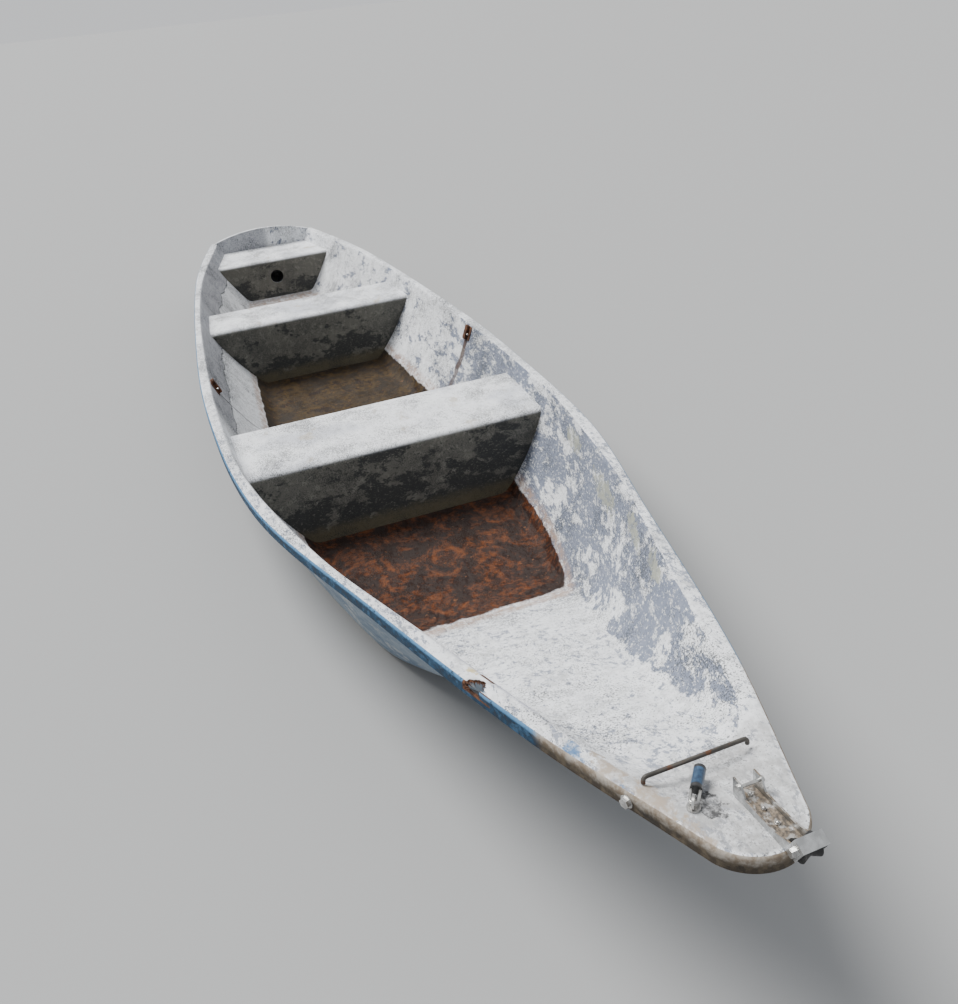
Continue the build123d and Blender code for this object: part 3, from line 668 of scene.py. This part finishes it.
# The stain left by standing rain, up to a height above the sole
rainStain = {"height": 0.048, "ragged": 0.034, "silt": colour(0.36, 0.25, 0.19),
             "brown": colour(0.014, 0.005, 0.002), "amber": colour(0.125, 0.035, 0.006),
             "peat": colour(0.018, 0.011, 0.005), "oliveBrown": colour(0.058, 0.033, 0.007),
             "siltDark": colour(0.10, 0.060, 0.045), "blot": colour(0.009, 0.004, 0.003),
             "crumb": colour(0.20, 0.085, 0.035), "middleFrom": (3.3, 2.8), "aftFrom": (1.5, 1.1)}

# Outside paint: faded blue-grey with a tannin line near the water
outsidePaint = {"blue": colour(0.075, 0.125, 0.19), "faded": colour(0.20, 0.25, 0.30),
                "bare": colour(0.34, 0.36, 0.37), "scum": colour(0.10, 0.085, 0.05),
                "scumHeight": (0.135, 0.095)}


def rainStained(look, where, station, height, fine, tone):
    ragged = where.grain(13.0, 8.0, 0.7).shifted(look["ragged"])
    depth = look["height"] - (height + ragged)
    fringe = depth.within(-0.026, 0.002, 0.010) * fine.ramp(0.38, 0.60, 0.15, 0.8)
    tone = mixed(fringe, tone, look["silt"])
    swirl = where.grain(9.0, 10.0, 0.74, 0.35)
    streaked = swirl.ramp(0.40, 0.62)
    forward = mixed(swirl.ramp(0.45, 0.63), look["brown"], look["amber"])
    middle = mixed(streaked, look["peat"], look["oliveBrown"])
    aft = mixed(streaked, look["siltDark"], look["silt"])
    stain = mixed(station.ramp(*look["middleFrom"]), forward, middle)
    stain = mixed(station.ramp(*look["aftFrom"]), stain, aft)
    blots = where.grain(9.0, 9.0, 0.75).ramp(0.50, 0.60, 0.0, 0.85)
    stain = mixed(blots, stain, look["blot"])
    crumbs = where.grain(48.0, 8.0, 0.78, 0.3).ramp(0.60, 0.66, 0.0, 0.7)
    stain = mixed(crumbs, stain, look["crumb"])
    wet = depth.ramp(0.0, 0.007)
    return mixed(wet * 0.97, tone, stain), wet, swirl * wet


def makeInsidePaint(look, outside):
    material, shader, where = newMaterial("insidePaint", {})
    spot = where.axes()
    station = spot["X"] - sternX
    height = spot["Z"] - soleZ
    rim = where.mark("rim")
    drift = where.grain(2.6, 5.0, 0.6)
    fine = where.grain(42.0, 8.0, 0.72)
    facing = where.facing()
    level = facing["Z"].ramp(0.72, 0.90)
    wall = 1.0 - level
    port = spot["Y"].ramp(0.0, 0.05)
    starboard = 1.0 - port
    # Slate shows through most on the port wall
    portWall = wall * port * station.ramp(*look["slateFrom"], 0.24, 0.47)
    share = 0.13 + portWall + drift.shifted(0.6)
    slanted = where.stretched((0.50, 1.0, 1.15), (0.0, 0.35, 0.15))
    flakes = flakesOn(slanted, 17.0, share)
    tone = mixed(fine.ramp(0.42, 0.72, 0.0, 0.75), look["white"], look["grime"])
    tone = mixed(drift.ramp(0.48, 0.66, 0.0, 0.3), tone, look["grime"])
    scratches = where.stretched((0.12, 1.0, 1.4), (0.0, 0.12, 0.0)).grain(60.0, 6.0, 0.7)
    tone = mixed(scratches.ramp(0.56, 0.66, 0.0, 0.4), tone, look["grime"])
    slate = mixed(fine.ramp(0.35, 0.70), look["slate"], look["slateWorn"])
    tone = mixed(flakes["Bare"], tone, slate)
    # Small chips in the paint, thick on the ramp and the deck
    chips = flakesOn(slanted, 58.0, level * 0.12 + drift.ramp(0.34, 0.62, 0.20, 0.36))["Bare"]
    tone = mixed(chips * station.ramp(*look["chipsFrom"], 0.35, 0.85), tone, slate)
    # The starboard wall aft is in two tones, parted by a thin dark line
    parting = look["parting"] + where.grain(5.0, 5.0, 0.6).shifted(0.10)
    overLine = height - parting
    aftWall = wall * starboard * station.ramp(*look["aftWallFrom"])
    shade = mixed(scratches.ramp(0.4, 0.62), look["shade"], look["shadeWorn"])
    tone = mixed(aftWall * overLine.ramp(-0.006, 0.006, 0.0, 0.8), tone, shade)
    line = aftWall * overLine.within(-0.004, 0.001, 0.002)
    tone = mixed(line, tone, look["speck"])
    # Mould specks and smudges where it lies level, and the grey deck
    onRamp = level * station.ramp(*look["rampFrom"])
    specks = specksOn(where, 235.0, 0.84 - onRamp * 0.08)
    tone = mixed(specks * 0.85, tone, look["speck"])
    smudge = where.grain(11.0, 9.0, 0.78).ramp(0.52, 0.64, 0.0, 0.55)
    tone = mixed(smudge * level, tone, look["smudge"])
    deck = station.ramp(*look["deckFrom"]) * rim.ramp(0.004, 0.012)
    tone = mixed(deck * fine.ramp(0.30, 0.62, 0.35, 0.85), tone, look["deck"])
    for at, side, up, *size, paint in patches:
        feeds = {"Vector": where, "Place": (sternX + at, side, soleZ + up), "Size": size}
        patch = useGroup(patchGroup, feeds)["Mask"]
        tone = mixed(patch * fine.ramp(0.36, 0.58, 0.25, 0.9), tone, look[paint])
    # The starboard flange has a lilac band along its inner half
    band = rim.within(*look["lilacRim"], 0.006) * station.within(*look["lilacStations"], 0.02)
    band = band * starboard * fine.ramp(0.36, 0.48) * 0.8
    tone = mixed(band, tone, look["lilac"])
    top = (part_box("rowlock_block_port")[0][0] + look["runAhead"], 0.0, soleZ + look["runTop"])
    for side, width, lean, paint in runs:
        feeds = {"Vector": where, "Place": top, "Width": width, "Length": look["runLength"],
                 "Lean": lean, "Side": side}
        run = useGroup(runGroup, feeds)["Mask"].ramp(0.05, 0.45)
        tone = mixed(run * 0.9, tone, look[paint])
    tone, wet, silted = rainStained(rainStain, where, station, height, fine, tone)
    # The outer face of the transom looks aft and has the outside paint
    outer = mixed(drift.ramp(0.38, 0.64), outside["blue"], outside["faded"])
    outer = mixed(flakes["Bare"], outer, outside["bare"])
    tone = mixed(facing["X"].ramp(-0.55, -0.75), tone, outer)
    wet.ramp(0.0, 1.0, 0.25, 0.07).feed(shader.inputs["Specular IOR Level"])
    relief = flakes["Height"] * 0.6 + fine * 0.5 + silted * 1.5
    coated(shader, tone, wet.ramp(0.0, 1.0, 0.76, 0.58), relief, 0.55, 0.0014)
    return material


# Lip paint: blue along the middle, pale above and brown below towards the bow. The blue and the brown are
# darkened with painted shade, and the arris has a painted highlight
lipPaint = {"blue": colour(0.009, 0.024, 0.046), "azure": colour(0.085, 0.20, 0.35),
            "fleck": colour(0.02, 0.022, 0.026), "soil": colour(0.046, 0.036, 0.026),
            "dust": colour(0.115, 0.094, 0.068), "blot": colour(0.030, 0.026, 0.022),
            "pale": colour(0.34, 0.31, 0.27), "paleWorn": colour(0.20, 0.16, 0.12),
            "paleFrom": (5.10, 5.13)}


def makeLipPaint(look):
    material, shader, where = newMaterial("lipPaint", {"Specular IOR Level": 0.15})
    station = where.axes()["X"] - sternX
    drop = where.mark("drop")
    fine = where.grain(60.0, 6.0, 0.65)
    flakes = flakesOn(where, 26.0, 0.42)
    tone = mixed(fine.ramp(0.35, 0.7), look["blue"], look["azure"])
    # Most of the lip is pulled to the dark blue: the blue paint with painted shade in it
    tone = mixed(0.7, tone, look["blue"])
    # Painted highlight: an azure line along the top of the rounded arris; the flaked spots also show azure
    # paint
    arris = (drop + fine.shifted(0.008)).ramp(0.010, 0.005)
    tone = mixed(maths("MAXIMUM", arris, flakes["Bare"] * 0.35), tone, look["azure"])
    tone = mixed(where.grain(80.0, 6.0, 0.75).ramp(0.57, 0.62), tone, look["fleck"])
    wander = where.grain(18.0, 3.0) * 0.06
    front = (station + wander).ramp(*look["paleFrom"])
    # Soil and dust towards the bow, their colours darkened with painted shade on the lip's face
    soil = mixed(fine.ramp(0.40, 0.66), look["soil"], look["dust"])
    blots = where.grain(24.0, 7.0, 0.72).ramp(0.54, 0.62, 0.0, 0.8)
    soil = mixed(blots, soil, look["blot"])
    pale = mixed(fine.ramp(0.38, 0.62), look["pale"], look["paleWorn"])
    upper = (drop + fine.shifted(0.022)).ramp(0.022, 0.006)
    tone = mixed(front, tone, mixed(upper, soil, pale))
    coated(shader, tone, fine.rough(0.45, 0.8), flakes["Height"], 0.4, 0.001)
    return material


def makeOutsidePaint(look):
    material, shader, where = newMaterial("outsidePaint", {})
    drift = where.stretched((0.4, 1.0, 1.6)).grain(5.0, 6.0, 0.65)
    fine = where.grain(50.0, 6.0, 0.65)
    flakes = flakesOn(where, 12.0, 0.34)
    tone = mixed(drift.ramp(0.38, 0.64), look["blue"], look["faded"])
    tone = mixed(flakes["Bare"], tone, look["bare"])
    line = where.axes()["Z"] + fine.shifted(0.05)
    tone = mixed(line.ramp(*look["scumHeight"]) * 0.85, tone, look["scum"])
    coated(shader, tone, fine.rough(0.42, 0.75), flakes["Height"] + fine, 0.35, 0.001)
    return material


insideMaterial = makeInsidePaint(insidePaint, outsidePaint)
lipMaterial = makeLipPaint(lipPaint)
outsideMaterial = makeOutsidePaint(outsidePaint)
for material in (insideMaterial, lipMaterial, outsideMaterial):
    mouldingPiece.data.materials.append(material)
print("hull paints made")


# Seat paint: pale chalky tops, faces dark with mould towards the sole and with painted shade, upright faces
# darker than the tops
seatPaint = {"top": colour(0.82, 0.84, 0.87), "blush": colour(0.58, 0.60, 0.65),
             "topWorn": colour(0.40, 0.42, 0.44), "tan": colour(0.50, 0.45, 0.36),
             # The face colours are mould-darkened paint with painted shade in them
             "face": colour(0.105, 0.103, 0.088), "faceWorn": colour(0.20, 0.195, 0.17),
             "black": colour(0.018, 0.020, 0.021), "wash": colour(0.10, 0.085, 0.05),
             "mouldHeight": (0.30, 0.02), "washHeight": (0.075, 0.025),
             "mould": {"middle": 0.40, "aft": 0.30, "stern": 0.26}}


def makeSeatPaint(name, look, mould):
    material, shader, where = newMaterial(name, {})
    height = where.axes()["Z"] - soleZ
    fine = where.grain(42.0, 6.0, 0.68)
    drift = where.grain(4.5, 6.0, 0.62)
    top = mixed(drift.ramp(0.42, 0.62), look["top"], look["blush"])
    top = mixed(fine.ramp(0.48, 0.72, 0.0, 0.55), top, look["topWorn"])
    tanned = where.grain(9.0, 5.0, 0.6).ramp(0.60, 0.68)
    top = mixed(tanned * 0.6, top, look["tan"])
    amount = height.ramp(*look["mouldHeight"]) * 0.34 + mould
    flakes = flakesOn(where.stretched((1.0, 0.7, 1.2)), 9.0, amount)
    face = mixed(fine.ramp(0.44, 0.74), look["face"], look["faceWorn"])
    face = mixed(flakes["Bare"] * 0.9, face, look["black"])
    washed = (height + fine.shifted(0.05)).ramp(*look["washHeight"])
    face = mixed(washed * 0.9, face, look["wash"])
    # Painted shade, partly mould: upright faces take the dark face paint and upward faces the pale top paint
    tone = mixed(where.facing()["Z"].ramp(0.35, 0.85), face, top)
    tone = mixed(specksOn(where, 260.0, 0.9) * 0.7, tone, look["black"])
    coated(shader, tone, fine.rough(0.62, 0.85), flakes["Height"] + fine, 0.4, 0.001)
    return material


def dress(name, material):
    slots = nodes[name].material_slots
    if not slots:
        nodes[name].data.materials.append(material)
    for slot in slots:
        slot.material = material


for name, mould in seatPaint["mould"].items():
    dress(name + "_seat", makeSeatPaint(name + "SeatPaint", seatPaint, mould))
dress("transom", insideMaterial)
dress("runners", outsideMaterial)
print("seats painted")


# Metals: bright where clean, with rust in places and brown soil where the channel faces up
steels = {
    "galvanised": {"bright": colour(0.66, 0.67, 0.67), "dull": colour(0.44, 0.445, 0.445),
                   "rusty": 0.70, "rough": (0.20, 0.38), "soil": 0.0},
    "channel": {"bright": colour(0.60, 0.61, 0.61), "dull": colour(0.36, 0.365, 0.365),
                "rusty": 0.67, "rough": (0.24, 0.44), "soil": 0.95},
    "bright": {"bright": colour(0.66, 0.66, 0.64), "dull": colour(0.40, 0.39, 0.38),
               "rusty": 0.66, "rough": (0.22, 0.45), "soil": 0.0},
    "dirtDark": colour(0.045, 0.035, 0.026), "dirtPale": colour(0.19, 0.145, 0.10),
}


def makeSteel(kind):
    look = steels[kind]
    material, shader, where = newMaterial(kind + "Steel", {})
    blotch = where.grain(70.0, 5.0, 0.6)
    fine = where.grain(600.0, 3.0, 0.6)
    rust = rustOn(where, 90.0)
    tone = mixed(blotch.ramp(0.35, 0.65), look["bright"], look["dull"])
    share = where.grain(34.0, 6.0, 0.7).ramp(look["rusty"], look["rusty"] + 0.08)
    tone = mixed(share, tone, rust["Color"])
    soil = where.facing()["Z"].ramp(0.80, 0.92, 0.0, look["soil"])
    soil = soil * blotch.ramp(0.36, 0.52, 0.45, 1.0)
    dirt = where.grain(150.0, 6.0, 0.7).ramp(0.4, 0.62)
    tone = mixed(soil, tone, mixed(dirt, steels["dirtDark"], steels["dirtPale"]))
    soil.ramp(0.0, 0.8, 1.0, 0.0).feed(shader.inputs["Metallic"])
    rough = maths("MAXIMUM", blotch.rough(*look["rough"]), share * 0.85)
    rough = maths("MAXIMUM", rough, soil * 0.85)
    coated(shader, tone, rough, fine + rust["Height"] * share, 0.25, 0.0004)
    return material


def makeRusted(name, scale):
    material, shader, where = newMaterial(name, {"Metallic": 0.15})
    rust = rustOn(where, scale)
    coated(shader, rust["Color"], rust["Roughness"], rust["Height"], 0.8, 0.0012)
    return material


brightSteel = makeSteel("bright")
dress("bow_channel", makeSteel("channel"))
dress("roller_strap", makeSteel("galvanised"))
for name in ("roller_pin", "ear_pin", "lip_bolt", "deck_eye"):
    dress(name, brightSteel)
for name in ("rowlock_block_port", "rowlock_block_starboard"):
    dress(name, makeRusted("rust_" + name, 70.0))


# The roller is black rubber, dusty in places
rollerRubber = {"black": colour(0.010, 0.010, 0.011), "dust": colour(0.07, 0.065, 0.06)}


def makeRollerRubber(look):
    material, shader, where = newMaterial("rollerRubber", {})
    fine = where.grain(220.0, 5.0, 0.65)
    dust = where.grain(45.0, 5.0).ramp(0.5, 0.7, 0.0, 0.5)
    tone = mixed(dust, look["black"], look["dust"])
    coated(shader, tone, fine.rough(0.45, 0.75), fine, 0.4, 0.0005)
    return material


dress("bow_roller", makeRollerRubber(rollerRubber))
print("metals made")


# Round rods drawn along points
def makeTube(name, points, radius, material):
    curve = bpy.data.curves.new(name, "CURVE")
    curve.dimensions = "3D"
    curve.bevel_depth = radius
    curve.bevel_resolution = 5
    curve.use_fill_caps = True
    spline = curve.splines.new("POLY")
    spline.points.add(len(points) - 1)
    for spot, point in zip(spline.points, points):
        spot.co = (*point, 1.0)
    holder = linked(name + "Curve", curve)
    mesh = meshOf(holder)
    bpy.data.objects.remove(holder)
    mesh.name = name
    mesh.materials.clear()
    mesh.materials.append(material)
    mesh.polygons.foreach_set("use_smooth", [True] * len(mesh.polygons))
    mesh.set_sharp_from_angle(angle=math.radians(50))
    piece = linked(name, mesh)
    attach(piece, "hull")
    return piece


def arcPoints(centre, first, second, radius, start, end, steps):
    angles = [math.radians(angle) for angle in spread(start, end, steps)]
    return [centre + first * radius * math.cos(a) + second * radius * math.sin(a) for a in angles]


# The mooring bar, a round rod bent down at both ends, of dark steel worn grey
bar = {"station": 5.275, "offset": -0.011, "half": 0.0965, "lift": 0.012, "radius": 0.0040,
       "bend": 0.0075, "foot": 0.0005, "dark": colour(0.045, 0.042, 0.038), "worn": colour(0.11, 0.10, 0.09)}


def makeBarSteel(look):
    material, shader, where = newMaterial("barSteel", {"Metallic": 0.4})
    rust = rustOn(where, 80.0)
    fine = where.stretched((1.0, 0.15, 1.0)).grain(130.0, 5.0, 0.65)
    tone = mixed(fine.ramp(0.35, 0.65), look["dark"], look["worn"])
    tone = mixed(where.grain(40.0, 5.0).ramp(0.52, 0.66, 0.0, 0.8), tone, rust["Color"])
    coated(shader, tone, fine.rough(0.5, 0.8), rust["Height"], 0.4, 0.0006)
    return material


def makeBar(look):
    place, _, up = deckFrame(look["station"], look["offset"])
    port = Vector((0, 1, 0))
    points = []
    for side in (-1, 1):
        corner = place + port * side * (look["half"] - look["bend"]) + up * (look["lift"] - look["bend"])
        foot = place + port * side * look["half"] + up * look["foot"]
        bend = arcPoints(corner, port * side, up, look["bend"], 0, 90, 8)
        points += [foot, *bend] if side < 0 else [*reversed(bend), foot]
    piece = makeTube("mooringBar", points, look["radius"], makeBarSteel(look))
    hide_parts("mooring_bar")


makeBar(bar)

# The padlock: a body in deep blue enamel with black ends, and a shackle of bent round wire
lock = {"station": 5.315, "offset": -0.033, "angle": -40.0, "lift": 0.010, "start": 0.025, "end": 0.046,
        "half": 0.0065, "radius": 0.0025, "endCap": 0.0175, "blue": colour(0.006, 0.025, 0.062),
        "sheen": colour(0.025, 0.075, 0.15), "chip": colour(0.30, 0.30, 0.30),
        "black": colour(0.016, 0.016, 0.017)}


def lockAxes(look):
    place, forward, up = deckFrame(look["station"], look["offset"])
    turn = math.radians(look["angle"])
    axis = forward * math.cos(turn) + Vector((0, 1, 0)) * math.sin(turn)
    return place + up * look["lift"], axis, up.cross(axis)


def makeShackle(look):
    middle, axis, across = lockAxes(look)
    points = [middle + axis * look["start"] - across * look["half"]]
    points += arcPoints(middle + axis * look["end"], axis, across, look["half"], -90, 90, 14)
    points.append(middle + axis * look["start"] + across * look["half"])
    piece = makeTube("padlockShackle", points, look["radius"], brightSteel)
    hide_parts("padlock_shackle")


def makeLockEnamel(look):
    material, shader, where = newMaterial("lockEnamel", {"Coat Weight": 0.4, "Coat Roughness": 0.2})
    middle, axis, _ = lockAxes(look)
    fine = where.grain(160.0, 5.0, 0.6)
    flakes = flakesOn(where, 60.0, 0.14)
    tone = mixed(fine.ramp(0.35, 0.7), look["blue"], look["sheen"])
    tone = mixed(flakes["Bare"], tone, look["chip"])
    reach = vectorMaths("DOT_PRODUCT", where, axis)["Value"]
    fromMiddle = maths("ABSOLUTE", reach - middle.dot(axis))
    ends = fromMiddle.ramp(look["endCap"], look["endCap"] + 0.0005)
    tone = mixed(ends, tone, look["black"])
    coated(shader, tone, fine.rough(0.28, 0.5), flakes["Height"], 0.3, 0.0004)
    return material


makeShackle(lock)
dress("padlock_body", makeLockEnamel(lock))


# Torn fibres left round the socket hole
fibres = {"count": 46, "length": (0.20, 0.55), "width": (0.0010, 0.0026), "root": (0.002, 0.006),
          "droop": (0.004, 0.014), "sway": 0.004, "thickness": 0.0006}


def makeFibres(look, material):
    place, lead, across, up = tearPlace()
    random.seed(9)
    shape = bmesh.new()
    for index in range(look["count"]):
        angle = 2 * math.pi * (index + random.random()) / look["count"]
        out = lead * math.cos(angle) * tear["along"] + across * math.sin(angle) * tear["across"]
        length = random.uniform(*look["length"])
        twist = across * math.cos(angle) - lead * math.sin(angle)
        wide = twist * random.uniform(*look["width"])
        root = place + out * 1.02 - up * random.uniform(*look["root"])
        tip = place + out * (1 - length) - up * random.uniform(*look["droop"])
        tip += twist * random.uniform(-look["sway"], look["sway"])
        thick = up * look["thickness"]
        upper = [shape.verts.new(spot) for spot in (root - wide, root + wide, tip)]
        lower = [shape.verts.new(spot) for spot in (root - wide - thick, root + wide - thick, tip - thick)]
        (a, b, c), (d, e, f) = upper, lower
        for ring in ((a, b, c), (f, e, d), (a, d, e, b), (b, e, f, c), (c, f, d, a)):
            shape.faces.new(ring)
    piece = finished("tornFibres", shape, 20)
    piece.data.materials.append(material)
    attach(piece, "hull")


fibreMaterial = makeRusted("tornFibre", 120.0)
mouldingPiece.data.materials.append(fibreMaterial)
makeFibres(fibres, fibreMaterial)


# Three nuts along the channel and a bolt on each rowlock plate, all six-sided with a domed end
nuts = {"station": 5.5, "offset": 0.020, "backs": (0.127, 0.094, 0.062), "lift": 0.003,
        "radius": 0.0042, "height": 0.0028}
bolts = {"back": 0.012, "outward": 0.0165, "down": 0.004, "inward": 0.93, "upward": 0.36,
         "radius": 0.0052, "height": 0.003}


def makeDome(name, look, place, axis):
    radius, height = look["radius"], look["height"]
    shape = bmesh.new()
    bmesh.ops.create_cone(shape, cap_ends=True, segments=6, radius1=radius, radius2=radius, depth=height)
    bmesh.ops.translate(shape, verts=shape.verts, vec=(0, 0, height / 2))
    dome = bmesh.ops.create_uvsphere(shape, u_segments=16, v_segments=8, radius=radius * 0.8)
    bmesh.ops.translate(shape, verts=dome["verts"], vec=(0, 0, height * 0.9))
    turned = Matrix.Translation(place) @ axis.to_track_quat("Z", "Y").to_matrix().to_4x4()
    bmesh.ops.transform(shape, matrix=turned, verts=shape.verts)
    piece = finished(name, shape, 30)
    piece.data.materials.append(brightSteel)
    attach(piece, "hull")


def makeNuts(look):
    place, forward, up = deckFrame(look["station"], look["offset"])
    for index, back in enumerate(look["backs"]):
        makeDome(f"channelNut{index}", look, place - forward * back + up * look["lift"], up)


def makeBolts(look):
    for hand, side in (("port", 1), ("starboard", -1)):
        low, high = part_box("rowlock_block_" + hand)
        y = side * (min(abs(low[1]), abs(high[1])) + look["outward"])
        face = Vector((high[0] - look["back"], y, (low[2] + high[2]) / 2 - look["down"]))
        makeDome("rowlockBolt_" + hand, look, face, Vector((0, -side * look["inward"], look["upward"])))


makeNuts(nuts)
makeBolts(bolts)
print("fittings made")


# Studio: a pale floor at the waterline, open where the hull passes through it
studio = {"waterline": 0.075, "halfSize": 400.0, "floor": colour(0.325, 0.33, 0.335), "rough": 0.9,
          "world": colour(0.925, 0.94, 0.965), "worldStrength": 0.80,
          "sun": 5.4, "sunColour": (1.0, 0.985, 0.955), "sunAngle": 34.0, "sunFrom": (-0.45, -0.35, 0.82),
          "stations": 220, "hullInset": 0.004}


def waterline(look):
    height = look["waterline"] - soleZ
    points = []
    for station in spread(0.0, hull["length"], look["stations"]):
        if soleAt(station, hull["laminate"]) < height:
            points.append((sternX + station, halfBeam(station, height, look["hullInset"])))
    return points


def makeFloor(look):
    size, level = look["halfSize"], look["waterline"]
    half = waterline(look)
    loop = half + [(x, -y) for x, y in reversed(half)]
    shape = bmesh.new()
    inner = [shape.verts.new((x, y, level)) for x, y in loop]
    outer = []
    for x, y in loop:  # each corner of the opening has a partner far out
        reach = size / max(abs(x) / 2, abs(y), 0.001)
        far = [max(min(value * reach, size), -size) for value in (x, y)]
        outer.append(shape.verts.new((*far, level)))
    for index in range(len(loop)):
        after = (index + 1) % len(loop)
        shape.faces.new((inner[index], inner[after], outer[after], outer[index]))
    bmesh.ops.recalc_face_normals(shape, faces=shape.faces)
    mesh = bpy.data.meshes.new("studioFloor")
    shape.to_mesh(mesh)
    shape.free()
    floor = linked("studioFloor", mesh)
    settings = {"Base Color": look["floor"], "Roughness": look["rough"]}
    mesh.materials.append(newMaterial("studioFloor", settings)[0])


def makeSun(look):
    data = bpy.data.lights.new("sun", "SUN")
    data.energy = look["sun"]
    data.angle = math.radians(look["sunAngle"])
    data.color = look["sunColour"]
    lamp = linked("sun", data)
    lamp.rotation_euler = Vector(look["sunFrom"]).to_track_quat("Z", "Y").to_euler()


def makeWorld(look):
    world = bpy.data.worlds.new("studioWorld")
    world.use_nodes = True
    feeds = world.node_tree.nodes["Background"].inputs
    feeds["Color"].default_value = look["world"]
    feeds["Strength"].default_value = look["worldStrength"]
    bpy.context.scene.world = world


makeFloor(studio)
makeSun(studio)
makeWorld(studio)
print("studio made")
